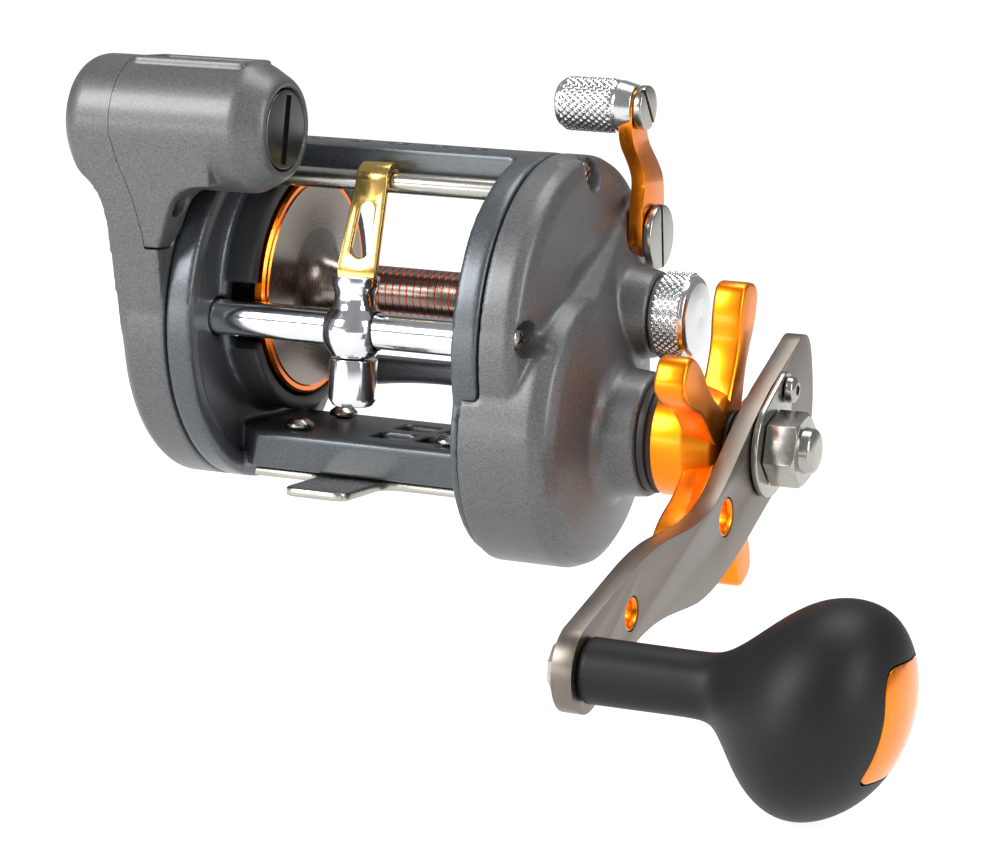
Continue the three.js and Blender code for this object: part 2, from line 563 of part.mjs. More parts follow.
const plateDisc = turned([[-plateX, 0], [-plateX, ringRadius], [leftFaceX + 2.2, ringRadius],
  [leftFaceX + 0.6, ringRadius - 1.2], [leftFaceX, ringRadius - 3], [leftFaceX, 0]], ringAxis, 56);
// The cavity narrows to the left, so that the arm's slanting edge keeps its wall.
const counterCavity = turned([[counterLeft + wall, 0], [counterLeft + wall, counterRadius - wall - 5],
  [counterLeft + wall + 3, counterRadius - wall - 2.4], [counterLeft + wall + 5.6, counterRadius - wall],
  [counterSeam + 8, counterRadius - wall], [counterSeam + 8, 0]], counterAxis, 28);
const bearingBoss = rod(leftFloorX - 1, -plateX - 0.1, bearingRadius + wall, spoolAxis, 24)
  .subtract(rod(leftBearingX - 0.1, 0, bearingRadius + gap, spoolAxis, 24))
  .subtract(rod(leftFloorX + 0.2, 0, shaftRadius + gap, spoolAxis, 16));
const driveHead = { x: counterLeft + wall + 3.4, ...shift(counterAxis, 0, -8) };
const driveTail = { x: -plateX - 4.2, ...shift(spoolAxis, -6.5, 6.5) };
function slantedRod(from, to, radius, segments = 14) {
  const start = new THREE.Vector3(from.x, from.y, from.z);
  const end = new THREE.Vector3(to.x, to.y, to.z);
  const turn = new THREE.Quaternion().setFromUnitVectors(new THREE.Vector3(0, 1, 0),
    end.clone().sub(start).normalize());
  const middle = start.clone().add(end).multiplyScalar(0.5);
  const geometry = new THREE.CylinderGeometry(radius, radius, start.distanceTo(end), segments);
  return solid(geometry.applyQuaternion(turn).translate(middle.x, middle.y, middle.z));
}
const driveShaftSlant = 1.1;
const counterScrewAxis = shift(spoolAxis, -41, 18.5);
const counterScrewX = -35.2;
const counterScrewBore = rod(-42, -10, 1 + gap, counterScrewAxis, 14);
const buttonRadius = 2.4;
const leftPlate = plateDisc.subtract(plateHollow).add(armBody.subtract(bodyFacing.intersect(counterEndCut))
  .subtract(plateHollow).subtract(ringSeat)).add(bearingBoss)
  .subtract(counterCavity)
  .subtract(rod(counterLeft - 2, counterLeft + wall + 1, buttonRadius + gap, counterAxis, 20))
  .subtract(slantedRod(driveHead, driveTail, driveShaftSlant + 2 * gap, 12))
  .subtract(counterScrewBore);
add("left_side_plate", gunmetal, leftPlate);

const barrelLeft = counterSeam + gap;
const barrel = turned([[barrelLeft, counterRadius - wall], [barrelLeft, counterRadius],
  [counterRight - 5.6, counterRadius], [counterRight - 3, counterRadius - 0.7],
  [counterRight - 1, counterRadius - 1.9], [counterRight, capRadius + 1.6], [counterRight, capRadius + gap],
  [counterRight - 2.7, capRadius + gap], [counterRight - 2.7, counterRadius - wall]], counterAxis, 40);
const housingZone = slabY(outline([...seamPoints(gap), [0, counterAxis.z - 29], [0, counterAxis.z + 16]]),
  counterAxis.y - 30, counterAxis.y + 30);
const fingerFront = outline([[-48, -2], [-48, -24.8], [-34.8, -24.8], [-33.6, -22], [-31.5, -15.4],
  [-28, -12.6], [-22, -11.5], [-22, -2]].map(([x, z]) => [x, counterAxis.z + z]));
const finger = slabY(fingerFront, counterAxis.y - 14, counterAxis.y - 1)
  .intersect(slabX(armSide(), -60, -10))
  .subtract(rod(-70, 0, ringRadius + gap, ringAxis, 56))
  .subtract(rod(-60, -10, counterRadius - 0.8, counterAxis, 36));
const windowHalf = { y: 4.6, x: 10.9 };
const windowX = -30.2;
const windowZ = counterAxis.z + counterRadius - 2.6;
const bezel = block(windowX - windowHalf.x - 1.6, windowX + windowHalf.x + 1.6, counterAxis.y - windowHalf.y - 1.6,
  counterAxis.y + windowHalf.y + 1.6, counterAxis.z + 6, counterAxis.z + counterRadius + 0.2)
  .subtract(rod(-60, 0, counterRadius - wall, counterAxis, 28));
const windowHole = block(windowX - windowHalf.x, windowX + windowHalf.x, counterAxis.y - windowHalf.y,
  counterAxis.y + windowHalf.y, counterAxis.z + 2, counterAxis.z + 30);
const housing = barrel.add(finger).add(bezel).intersect(housingZone).subtract(windowHole)
  .subtract(counterScrewBore).subtract(rod(counterScrewX, -10, 2.4, counterScrewAxis, 16));
add("counter_housing", gunmetal, housing);
add("counter_screw", steel, turned([[-41.5, 0], [-41.5, 1], [counterScrewX + gap, 1], [counterScrewX + gap, 2],
  [counterScrewX + 1.3, 1.9], [counterScrewX + 1.7, 1.3], [counterScrewX + 1.7, 0]], counterScrewAxis, 18)
  .subtract(rod(counterScrewX + 1, counterScrewX + 3, 0.8, counterScrewAxis, 6)));
const lens = slabX(outline([[-windowHalf.y + gap, 0], [windowHalf.y - gap, 0], [windowHalf.y - gap, 1.4],
  [2, 2.1], [-2, 2.1], [-windowHalf.y + gap, 1.4]].map(([y, z]) => [counterAxis.y + y, windowZ + z])),
  windowX - windowHalf.x + gap, windowX + windowHalf.x - gap);
add("counter_window", glass, lens);
const counterGroup = axisGroup(counterAxis);
const capSlot = block(counterRight - 1, counterRight + 1, -0.8, 0.8, -capRadius + 1, capRadius - 1);
add("counter_end_cap", gunmetal, turned([[counterRight - 2.4, 0], [counterRight - 2.4, capRadius],
  [counterRight - 0.6, capRadius], [counterRight - 0.1, capRadius - 0.5], [counterRight - 0.1, 0]],
  undefined, 32).subtract(capSlot), counterGroup);
const axleRadius = 1.4;
const buttonInner = counterLeft + wall + 0.8;
const counterGearX = counterLeft + wall + 5.2;
const axleLeft = buttonInner + 2.2;
add("counter_axle", steel, rod(axleLeft, counterRight - 2.7, axleRadius, undefined, 14), counterGroup);
add("counter_gear", white, slabX(gearOutline(18, 0.95, axleRadius + gap, 0), counterGearX, counterGearX + 2, 8),
  counterGroup);
const wheelStart = windowX - 1.5 * (wheelWidth + gap) + gap / 2;
["hundreds_wheel", "tens_wheel", "units_wheel"].forEach((name, i) => {
  const x = wheelStart + i * (wheelWidth + gap);
  add(name, white, turned([[x, axleRadius + gap], [x, wheelRadius - 0.5], [x + 0.4, wheelRadius],
    [x + wheelWidth - 0.4, wheelRadius], [x + wheelWidth, wheelRadius - 0.5],
    [x + wheelWidth, axleRadius + gap]], undefined, 30), counterGroup);
});
add("reset_button", chrome, turned([[counterLeft - 0.9, 0], [counterLeft - 0.9, buttonRadius - 0.4],
  [counterLeft - 0.5, buttonRadius], [buttonInner, buttonRadius], [buttonInner, 0]], undefined, 20), counterGroup);
add("counter_drive_shaft", steel, slantedRod(driveHead, driveTail, driveShaftSlant, 10));

// ---------------------------------------------------------------- handle side plate
const innerRadius = ringRadius - wall - gap;
const ridge = (radiusInset) => slabX(belt(driveAxis, gearCaseRadius - 4 - radiusInset, spoolAxis,
  spoolBossRadius - radiusInset, 12), plateX, ringOuterX + 14 - radiusInset);
const plateOuter = turned([[plateX, 0], [plateX, ringRadius], [plateFaceX - 3, ringRadius],
  [plateFaceX - 1, ringRadius - 1], [plateFaceX, ringRadius - 3.4], [plateFaceX + 1.6, ringRadius - 16],
  [plateFaceX + 1.6, 0]], ringAxis, 56);
const caseOuter = turned([[plateX, 0], [plateX, gearCaseRadius], [caseFaceX - 5, gearCaseRadius],
  [caseFaceX - 2, gearCaseRadius - 1.2], [caseFaceX - 0.4, gearCaseRadius - 3.6],
  [caseFaceX + 0.4, gearCaseRadius - 6.5], [caseFaceX + 2.4, driveBossRadius + 2.6],
  [caseFaceX + 4.4, driveBossRadius + 1], [caseFaceX + 6.4, driveBossRadius + 0.8],
  [driveBossX, driveBossRadius + 0.4], [driveBossX, 0]], driveAxis, 48);
const bossX = plateFaceX - wall - 0.5;
const castBoss = turned([[bossX, 0], [bossX, spoolBossRadius - 0.5], [ringOuterX + 13.5, 12.4], [ringOuterX + 16, 10],
  [spoolBossX, 8.6], [spoolBossX, 0]], spoolAxis, 32);
const pivotBossX = ringOuterX + 11.6;
const pivotBoss = rod(bossX, pivotBossX, 7, pivotAxis, 24);
const plateInner = turned([[plateX - 1, 0], [plateX - 1, innerRadius], [plateFaceX - 4, innerRadius],
  [plateFaceX - 2, innerRadius - 3], [plateFaceX - wall, innerRadius - 6], [plateFaceX - wall, 0]], ringAxis, 48);
const caseInner = turned([[plateX - 1, 0], [plateX - 1, gearCaseRadius - wall],
  [caseFaceX - 5, gearCaseRadius - wall], [caseFaceX - 2.6, gearCaseRadius - wall - 3],
  [caseFaceX - 1.8, gearCaseRadius - wall - 8], [caseFaceX - 1.8, 0]], driveAxis, 44);
const ridgeInner = ridge(wall);
const skirt = rod(lobeStepX + gap, plateX + 1, gearCaseRadius, driveAxis, 48)
  .subtract(rod(0, plateX + 2, driveLobeRadius - wall + gap, driveAxis, 48))
  .subtract(rod(0, plateX, ringRadius + gap, ringAxis, 56))
  .subtract(rod(0, plateX + 2, innerRadius, ringAxis, 48));
const pivotRidge = slabX(belt(driveAxis, gearCaseRadius - 0.6, pivotAxis, 9, 12), bossX, pivotBossX);
const pivotRidgeInner = slabX(belt(driveAxis, gearCaseRadius - 0.6 - wall, pivotAxis, 7, 12), plateX, pivotBossX - wall);
const castBossBore = turned([[plateX, 0], [plateX, 8.4], [yokeX + yokeThickness + yokeTravel + 2, 8.4],
  [yokeX + yokeThickness + yokeTravel + 2, shaftRadius + gap], [spoolBossX + 1, shaftRadius + gap],
  [spoolBossX + 1, 0]], spoolAxis, 24);
const lever = {
  inner: pivotBossX + gap,
  outer: pivotBossX + gap + leverThickness,
  hub: 3,
  tip: plateFaceX - wall - 2.6,
};
const plateScrews = [[93, 32.5], [176, 31.7], [22, 30.3]].map(([angle, radius]) => polar(ringAxis, radius, angle));
const screwSeatX = plateFaceX - 3.4;
const pocketRadius = 3.6;
const pivotPost = rod(plateFaceX - wall, pivotBossX - 1, lever.hub + gap + wall, pivotAxis, 24);
const handleSolid = plateOuter.add(caseOuter).add(ridge(0)).add(castBoss).add(pivotBoss).add(pivotRidge);
let handlePlate = handleSolid.subtract(plateInner).subtract(caseInner).subtract(ridgeInner)
  .subtract(pivotRidgeInner.intersect(rod(0, 99, innerRadius, ringAxis, 48).add(rod(0, 99, 20, driveAxis, 40))))
  .subtract(castBossBore).add(pivotPost).add(skirt)
  .subtract(rod(plateX, driveBossX + 1, 5 + gap, driveAxis, 24))
  .subtract(rod(plateX, pivotBossX + 1, lever.hub + gap, pivotAxis, 20));
plateScrews.forEach((axis, i) => {
  const post = rod(plateX, plateFaceX - 1, 2.4, axis, 16)
    .add(rod(screwSeatX - wall, plateFaceX - 1, pocketRadius + 1, axis, 20))
    .intersect(rod(0, 99, ringRadius - 0.5, ringAxis, 56));
  handlePlate = handlePlate.add(post)
    .subtract(rod(screwSeatX, plateFaceX + 6, pocketRadius, axis, 20))
    .subtract(rod(plateX - 1, plateFaceX, 1.2 + gap, axis, 12));
  add(`plate_screw_${i + 1}`, steel, turned([[plateX + 0.5, 0], [plateX + 0.5, 1.2], [screwSeatX + gap, 1.2],
    [screwSeatX + gap, 2.3], [screwSeatX + 1.4, 2.2], [screwSeatX + 2, 1.4], [screwSeatX + 2, 0]], axis, 14)
    .subtract(rod(screwSeatX + 1.3, screwSeatX + 4, 0.8, axis, 6)));
});
add("handle_side_plate", gunmetal, handlePlate);
const knobX = spoolBossX + gap;
const knobFace = knobX + castKnobLength;
add("cast_control_knob", chrome, turned([[knobX, shaftRadius + gap], [knobX, castKnobRadius - 0.9],
  [knobX + 0.7, castKnobRadius], [knobFace - 0.8, castKnobRadius], [knobFace, castKnobRadius - 0.8],
  [knobFace, 7], [knobFace - 0.8, 6.6], [knobFace - 1.3, 3], [knobFace - 1.3, 0], [knobFace - 2.4, 0],
  [knobFace - 2.4, shaftRadius + gap]], undefined, 40), spoolGroup);

// ---------------------------------------------------------------- star drag
const starArmX = starX + 6.6;
const starArmEnd = starX + 13;
const starPhase = 74;
const arms = 5;
// One arm: a neck that widens into a rounded paddle, leaning the way the star is turned.
function starArm(angle) {
  const shape = new THREE.Shape();
  shape.moveTo(4, -3.2);
  shape.lineTo(12, -2.6);
  shape.quadraticCurveTo(17, -2.2, starRadius - 9, -3.6);
  shape.quadraticCurveTo(starRadius - 3, -4.6, starRadius, -3);
  shape.quadraticCurveTo(starRadius + 1, 0, starRadius - 0.6, 2.6);
  shape.quadraticCurveTo(starRadius - 5, 4.4, starRadius - 10, 2.8);
  shape.quadraticCurveTo(17, 2, 12, 3.4);
  shape.lineTo(4, 5);
  const arm = extruded(shape, starArmEnd - starArmX, 4);
  arm.applyMatrix4(alongX).translate(starArmX, 0, 0).rotateX(angle * degree);
  return solid(arm);
}
let star = turned([[starX, driveBore], [starX, starHubRadius - 0.4], [starX + 0.4, starHubRadius],
  [starArmX, starHubRadius], [starArmEnd - 1, starHubRadius - 1.6], [starArmEnd, starHubRadius - 3],
  [starArmEnd, driveBore]], undefined, 40);
for (let i = 0; i < arms; i++) star = star.add(starArm(starPhase + (360 / arms) * i));
star = star.subtract(rod(starX - 1, starArmEnd + 1, driveBore, undefined, 24));
add("star_drag", orange, star, driveGroup);
add("spring_washers", black, sleeve(starArmEnd + gap, crankX - gap, 6.5, driveBore, undefined, 24), driveGroup);

// ---------------------------------------------------------------- crank
const knobAxisLocal = polar({ y: 0, z: 0 }, crankLength, crankAngle);
// The arm's outline in its own frame: u runs from the hub to the knob, v is square to it.
function crankOutline() {
  const end = crankLength - 0.8;
  const endRadius = 8;
  const shape = new THREE.Shape();
  shape.moveTo(-20, -13);
  shape.quadraticCurveTo(-27.6, -15, -28.3, -8);
  shape.quadraticCurveTo(-28.8, 1, -26.2, 6);
  shape.quadraticCurveTo(-22, 10, -4, 11.2);
  shape.bezierCurveTo(12, 13.2, 26, 17, 40, 13.8);
  shape.bezierCurveTo(50, 11, 57, 7, 69, 6.3);
  shape.quadraticCurveTo(81, 6.2, end - 2, 8);
  shape.absarc(end, 0.3, endRadius, 100 * degree, -85 * degree, true);
  shape.lineTo(70, -7.6);
  shape.quadraticCurveTo(64, -7.6, 59, -6.8);
  shape.bezierCurveTo(49, -5.4, 42, -1.2, 31, -1);
  shape.bezierCurveTo(22, -1, 14, -6.6, -4, -10.6);
  shape.lineTo(-20, -13);
  return shape;
}
const armTurn = (geometry) => geometry.rotateX(crankAngle * degree);
const armSlab = (shape, x0, x1, segments = 8) =>
  solid(armTurn(extruded(shape, x1 - x0, segments).applyMatrix4(alongX).translate(x0, 0, 0)));
const armSpot = (u, v) => {
  const angle = crankAngle * degree;
  return { y: u * Math.cos(angle) - v * Math.sin(angle), z: u * Math.sin(angle) + v * Math.cos(angle) };
};
const holeSpots = [armSpot(23, 4.2), armSpot(crankLength - 21, 0)];
const holeRadii = [crankHoleRadius + 0.6, crankHoleRadius];
const lockScrewSpot = armSpot(-9, -8.4);
const spindleRadius = 2.6;
let crankArm = armSlab(crankOutline(), crankX, crankX + crankThickness)
  .subtract(rod(crankX - 1, crankX + 9, driveBore, undefined, 24))
  .subtract(rod(crankX - 1, crankX + 9, 1.2 + gap, lockScrewSpot, 12))
  .subtract(rod(crankX - 1, crankX + 9, spindleRadius + gap, knobAxisLocal, 20));
holeSpots.forEach((spot, i) => {
  const radius = holeRadii[i];
  crankArm = crankArm.subtract(rod(crankX - 1, crankX + 9, radius, spot, 20));
  add(`arm_ring_${i + 1}`, orange, turned([[crankX + 0.1, radius - 1], [crankX + 0.1, radius - gap],
    [crankX + crankThickness - 0.1, radius - gap], [crankX + crankThickness - 0.1, radius - 0.6],
    [crankX + crankThickness - 0.9, radius - 1]], spot, 20), driveGroup);
});
add("crank_arm", brushed, crankArm, driveGroup);
const lockX = crankX + crankThickness + gap;
const lockOutline = belt(lockScrewSpot, 3.5, { y: 0, z: 0 }, 9.8, 10);
lockOutline.holes.push(outline({ y: 0, z: 0, radius: driveBore }));
lockOutline.holes.push(outline({ ...lockScrewSpot, radius: 1.2 + gap }));
add("nut_lock_plate", steel, slabX(lockOutline, lockX, lockX + 1.3, 8), driveGroup);
add("nut_lock_screw", steel, turned([[crankX + 0.4, 0], [crankX + 0.4, 1.2], [lockX + 1.3 + gap, 1.2],
  [lockX + 1.3 + gap, 2.7], [lockX + 3.1, 2.5], [lockX + 3.5, 1.6], [lockX + 3.5, 0]], lockScrewSpot, 16)
  .subtract(rod(lockX + 2.6, lockX + 5, 1, lockScrewSpot, 6)), driveGroup);
const nutFace = nutX + nutThickness;
const nutBody = slabX(hexagon(13, crankAngle), nutX, nutFace)
  .intersect(turned([[nutX, 0], [nutX, 7.6], [nutFace - 1, 7.6], [nutFace, 6.2], [nutFace, 0]], undefined, 24))
  .add(turned([[nutFace - 1, 0], [nutFace - 1, 4.6], [nutFace + nutDome - 1.4, 4.4], [nutFace + nutDome - 0.4, 3.4],
    [nutFace + nutDome, 1.6], [nutFace + nutDome, 0]], undefined, 24))
  .subtract(rod(nutX - 1, shaftEnd + gap, driveBore, undefined, 24));
add("crank_nut", steel, nutBody, driveGroup);

// ---------------------------------------------------------------- handle knob
const knobGroup = new THREE.Group();
knobGroup.position.set(0, knobAxisLocal.y, knobAxisLocal.z);
driveGroup.add(knobGroup);
const knobStart = crankX + crankThickness + gap;
const bulbStart = knobStart + knobNeckLength;
const knobEnd = bulbStart + knobBulbLength;
const spindleEnd = bulbStart + 12;
add("knob_spindle", steel, turned([[crankX - 1.8, 0], [crankX - 1.8, 4.6], [crankX - gap, 5],
  [crankX - gap, spindleRadius], [spindleEnd, spindleRadius], [spindleEnd, 0]], undefined, 20), knobGroup);
// Bulb stations: share of the bulb's length, share of its radius, and rise of the section's centre.
const bulbStations = [[0.08, 0.34, -0.4], [0.16, 0.5, -1.8], [0.27, 0.74, -3.4], [0.4, 0.92, -3],
  [0.53, 1, -1.9], [0.66, 0.985, -0.7], [0.78, 0.9, 0.5], [0.88, 0.75, 1.5], [0.95, 0.55, 2.1], [1, 0.28, 2.5]];
const stationRadius = (share) => knobBulbRadius * share;
const knobProfile = [[knobStart, spindleRadius + gap], [knobStart, knobNeckRadius - 0.4],
  [knobStart + 0.6, knobNeckRadius], [bulbStart - 5, knobNeckRadius - 0.1],
  ...bulbStations.map(([along, share]) => [bulbStart + along * knobBulbLength, stationRadius(share)]),
  [knobEnd, 0], [spindleEnd + gap, 0], [spindleEnd + gap, spindleRadius + gap]];
function bulbRise(x) {
  const along = (x - bulbStart) / knobBulbLength;
  if (along <= bulbStations[0][0]) return 0;
  for (let i = 1; i < bulbStations.length; i++) {
    const [a, , riseA] = bulbStations[i - 1];
    const [b, , riseB] = bulbStations[i];
    if (along <= b) return riseA + ((riseB - riseA) * (along - a)) / (b - a);
  }
  return bulbStations.at(-1)[2];
}
function knobBody() {
  const points = knobProfile.map(([x, radius]) => new THREE.Vector2(radius, x));
  points.push(points[0].clone());
  const geometry = lathe(points, 40).applyMatrix4(turnX);
  const position = geometry.attributes.position;
  for (let i = 0; i < position.count; i++) {
    const x = position.getX(i);
    const radius = Math.hypot(position.getY(i), position.getZ(i));
    const rise = radius > spindleRadius + gap + 0.01 || x > spindleEnd + 1 ? bulbRise(x) : 0;
    position.setZ(i, position.getZ(i) + rise);
  }
  return solid(geometry);
}
const insetOutline = outline([[-9, -7], [-6.5, -9.5], [6.5, -9.5], [9, -7], [9, 6], [5, 10.5], [-5, 10.5],
  [-9, 6]].map(([y, z]) => [y, z - 1.7]));
const insetZone = slabX(insetOutline, bulbStart + knobBulbLength * 0.7, knobEnd + 5);
const knobSolid = knobBody();
const insetDepth = 1.4;
const shrunk = knobBody().translate([-insetDepth, 0, 0]);
const insetGrown = outline([[-9.3, -7.1], [-6.6, -9.8], [6.6, -9.8], [9.3, -7.1], [9.3, 6.1], [5.1, 10.8],
  [-5.1, 10.8], [-9.3, 6.1]].map(([y, z]) => [y, z - 1.7]));
const pocket = slabX(insetGrown, bulbStart + knobBulbLength * 0.7, knobEnd + 5).subtract(shrunk);
add("knob", softBlack, knobSolid.subtract(pocket), knobGroup);
const insetFloor = knobBody().translate([-insetDepth + gap, 0, 0]);
add("knob_inset", orange, knobSolid.intersect(insetZone).subtract(insetFloor), knobGroup);

// ---------------------------------------------------------------- clutch lever
const pivotGroup = axisGroup(pivotAxis);
const gripSpot = { y: -7, z: 26.4 }; // grip axis, from the pivot
function leverOutline() {
  const shape = new THREE.Shape();
  shape.moveTo(-5, -4.5);
  shape.quadraticCurveTo(-7, 3, -5.6, 10);
  shape.quadraticCurveTo(-5.4, 14, -8.5, 18);
  shape.quadraticCurveTo(-11, 22, gripSpot.y - 3.6, gripSpot.z - 1);
  shape.absarc(gripSpot.y, gripSpot.z, 3.8, 195 * degree, -15 * degree, true);
  shape.quadraticCurveTo(gripSpot.y + 4.4, 21, 1, 17.5);
  shape.quadraticCurveTo(5.4, 13, 5.6, 4);
  shape.quadraticCurveTo(6.4, -1, 4.6, -4);
  shape.quadraticCurveTo(0, -7.5, -5, -4.5);
  return shape;
}
const joggle = 1.5; // the lever's top is set in towards the spool by this much
const leverPlate = slabX(leverOutline(), lever.inner, lever.outer, 6)
  .subtract(block(lever.inner - 1, lever.outer + 1, -40, 40, 19, 60))
  .add(slabX(leverOutline(), lever.inner - joggle, lever.outer - joggle, 6)
    .subtract(block(lever.inner - 3, lever.outer + 1, -40, 40, -40, 17.6)));
const cam = slabX(belt({ y: 0, z: 0 }, lever.hub, { y: -3.2, z: -2.6 }, 1.8, 8), lever.tip, lever.tip + 1.8);
const leverHub = rod(lever.tip + 0.5, lever.inner + 1, lever.hub, undefined, 20);
const leverPost = rod(lever.outer - 0.5, lever.outer + 0.9, 3, undefined, 20);
const gripHole = rod(lever.inner - 3, lever.outer + 1, 1.5 + gap, gripSpot, 16);
// The foot of the lever is hollowed out so that it clears the boss all the way through its throw.
let leverBlade = leverPlate;
for (let turn = 0; turn <= leverThrow; turn += 10) {
  const boss = polar({ y: 0, z: 0 }, distance(pivotAxis, spoolAxis), heading(pivotAxis, spoolAxis) + turn);
  leverBlade = leverBlade.subtract(rod(lever.inner - 1, lever.outer + 1, spoolBossRadius + gap, boss, 40));
}
add("clutch_lever", orange, leverBlade.add(leverHub).add(cam)
  .subtract(rod(lever.outer - 3, lever.outer + 2, 1.6 + gap, undefined, 16)).subtract(gripHole), pivotGroup);
const slotCut = (x, axis, halfLength, turn) => solid(new THREE.BoxGeometry(1.4, 2 * halfLength, 1.1)
  .rotateX(turn * degree).translate(x, axis.y, axis.z));
const pivotHead = lever.outer + gap + 1.8;
add("lever_pivot_screw", steel, turned([[lever.outer - 2.4, 0], [lever.outer - 2.4, 1.6],
  [lever.outer + gap, 1.6], [lever.outer + gap, 6.6], [pivotHead - 0.5, 6.6], [pivotHead, 6], [pivotHead, 0]],
  undefined, 32).subtract(slotCut(pivotHead, { y: 0, z: 0 }, 4.2, 100)), pivotGroup);
const gripRight = lever.inner - joggle - gap;
const gripLeft = gripRight - leverGripLength;
add("lever_grip", chrome, turned([[gripLeft, 0], [gripLeft, leverGripRadius - 1.4],
  [gripLeft + 0.6, leverGripRadius - 0.9], [gripLeft + 1.2, leverGripRadius - 0.9],
  [gripLeft + 1.7, leverGripRadius], [gripRight - 3.6, leverGripRadius], [gripRight - 2.8, leverGripRadius - 0.9],
  [gripRight, leverGripRadius - 1.4], [gripRight, 1.5 + gap], [gripRight - 9, 1.5 + gap], [gripRight - 9, 0]],
  gripSpot, 32), pivotGroup);
const gripSeat = lever.outer - joggle + gap;
const gripHead = gripSeat + 1.9;
add("lever_grip_screw", steel, turned([[gripRight - 8.5, 0], [gripRight - 8.5, 1.5], [gripSeat, 1.5],
  [gripSeat, 4.5], [gripHead - 0.4, 4.5], [gripHead, 4], [gripHead, 0]], gripSpot, 28)
  .subtract(slotCut(gripHead, gripSpot, 6, 130)), pivotGroup);

export default reel;
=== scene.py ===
"""Line-counter trolling reel: the visible pieces, their finishes, the studio and the camera.

Lengths are in millimetres until a piece is finished, then metres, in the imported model's own frame.
"""
import math

import bmesh
import bpy
from mathutils import Matrix, Vector
from mathutils.geometry import interpolate_bezier


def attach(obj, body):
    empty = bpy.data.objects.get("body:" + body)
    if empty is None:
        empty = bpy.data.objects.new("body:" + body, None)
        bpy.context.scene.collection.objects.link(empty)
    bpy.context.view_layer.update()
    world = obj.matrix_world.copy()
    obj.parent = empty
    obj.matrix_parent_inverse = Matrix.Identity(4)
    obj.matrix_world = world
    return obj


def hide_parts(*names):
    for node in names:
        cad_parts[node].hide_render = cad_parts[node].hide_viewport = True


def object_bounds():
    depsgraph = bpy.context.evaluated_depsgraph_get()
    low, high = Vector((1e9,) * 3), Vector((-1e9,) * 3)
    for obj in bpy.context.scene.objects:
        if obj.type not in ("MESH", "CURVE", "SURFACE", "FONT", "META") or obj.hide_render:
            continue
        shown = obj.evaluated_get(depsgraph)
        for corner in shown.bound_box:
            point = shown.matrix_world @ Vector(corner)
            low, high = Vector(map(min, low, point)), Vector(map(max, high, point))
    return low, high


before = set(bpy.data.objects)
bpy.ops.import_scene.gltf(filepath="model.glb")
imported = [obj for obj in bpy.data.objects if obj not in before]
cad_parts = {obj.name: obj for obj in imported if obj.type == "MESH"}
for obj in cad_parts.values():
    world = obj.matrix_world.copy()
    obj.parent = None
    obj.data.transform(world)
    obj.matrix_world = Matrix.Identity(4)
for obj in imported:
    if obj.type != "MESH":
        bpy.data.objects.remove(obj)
cad_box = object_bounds()
MM = 0.001
TURN = 2 * math.pi


# ---------------------------------------------------------------- places, as (y, z) pairs
def shift(axis, y, z):
    return (axis[0] + y, axis[1] + z)


def polar(axis, radius, degrees):
    angle = math.radians(degrees)
    return shift(axis, radius * math.cos(angle), radius * math.sin(angle))


SPOOL = (4.5, 38.6)
RING = shift(SPOOL, -5.7, -4.65)
RING_RADIUS = 36
RING_INNER = 28.6
RING_OUTER = 34.3
WORM = shift(SPOOL, -26.8, -5)
ROD = shift(SPOOL, -17.5, 24)
DRIVE = polar(SPOOL, 26, 238.6)
CRANK_ANGLE = 197.4
CRANK_LENGTH = 92
KNOB = polar(DRIVE, CRANK_LENGTH, CRANK_ANGLE)
PIVOT = shift(SPOOL, 11, 14.5)
GRIP = shift(PIVOT, -7, 26.4)
COUNTER = polar(RING, 49.55, 127.7)
COUNTER_RADIUS = 13.05
COUNTER_LEFT, COUNTER_SEAM, COUNTER_RIGHT = -56, -44.1, -11
CARRIAGE_X = 0.8
GAP = 0.3
WALL = 2
PLATE_X = RING_OUTER + GAP
PLATE_FACE = RING_OUTER + 9
LEFT_FACE = -RING_OUTER - 11
CASE_RADIUS = 28.2
CASE_FACE = RING_OUTER + 16.4
SPOOL_BOSS = RING_OUTER + 21.6
DRIVE_BOSS = RING_OUTER + 27
STAR_X = DRIVE_BOSS + 3
CRANK_X = STAR_X + 16.3
CRANK_FACE = CRANK_X + 3.8


# ---------------------------------------------------------------- shapes
def linked(name, data):
    """A new object in the scene."""
    made = bpy.data.objects.new(name, data)
    bpy.context.scene.collection.objects.link(made)
    return made


def moved(bm, x, y, z):
    bmesh.ops.translate(bm, verts=bm.verts, vec=(x, y, z))
    return bm


def outward(bm):
    """Every face pointing out of the shape."""
    bmesh.ops.recalc_face_normals(bm, faces=bm.faces)
    return bm


def verts_in(items):
    return [item for item in items if isinstance(item, bmesh.types.BMVert)]


def lathe(profile, axis=(0, 0), steps=96, soft=0.0, upright=None):
    """A profile of (x, radius) pairs turned about a line along X, with its corners rounded by soft.
    With upright=(x, y) the profile is (z, radius) and the line is vertical through that point."""
    bm = bmesh.new()
    points = [bm.verts.new((x, radius, 0)) for x, radius in profile]
    for pair in zip(points, points[1:]):
        bm.edges.new(pair)
    if profile[0][1] > 0:
        bm.edges.new((points[-1], points[0]))
    if soft:
        corners = [vert for vert in bm.verts if len(vert.link_edges) == 2]
        bmesh.ops.bevel(bm, geom=corners, offset=soft, segments=3, profile=0.5, affect="VERTICES",
                        clamp_overlap=True, material=-1)
    bmesh.ops.spin(bm, geom=bm.verts[:] + bm.edges[:], cent=(0, 0, 0), axis=(1, 0, 0), angle=TURN,
                   steps=steps, use_merge=True)
    bmesh.ops.remove_doubles(bm, verts=bm.verts, dist=1e-4)
    if upright:
        bmesh.ops.rotate(bm, verts=bm.verts, cent=(0, 0, 0), matrix=Matrix.Rotation(-math.pi / 2, 3, "Y"))
        moved(bm, *upright, 0)
    else:
        moved(bm, 0, *axis)
    return outward(bm)


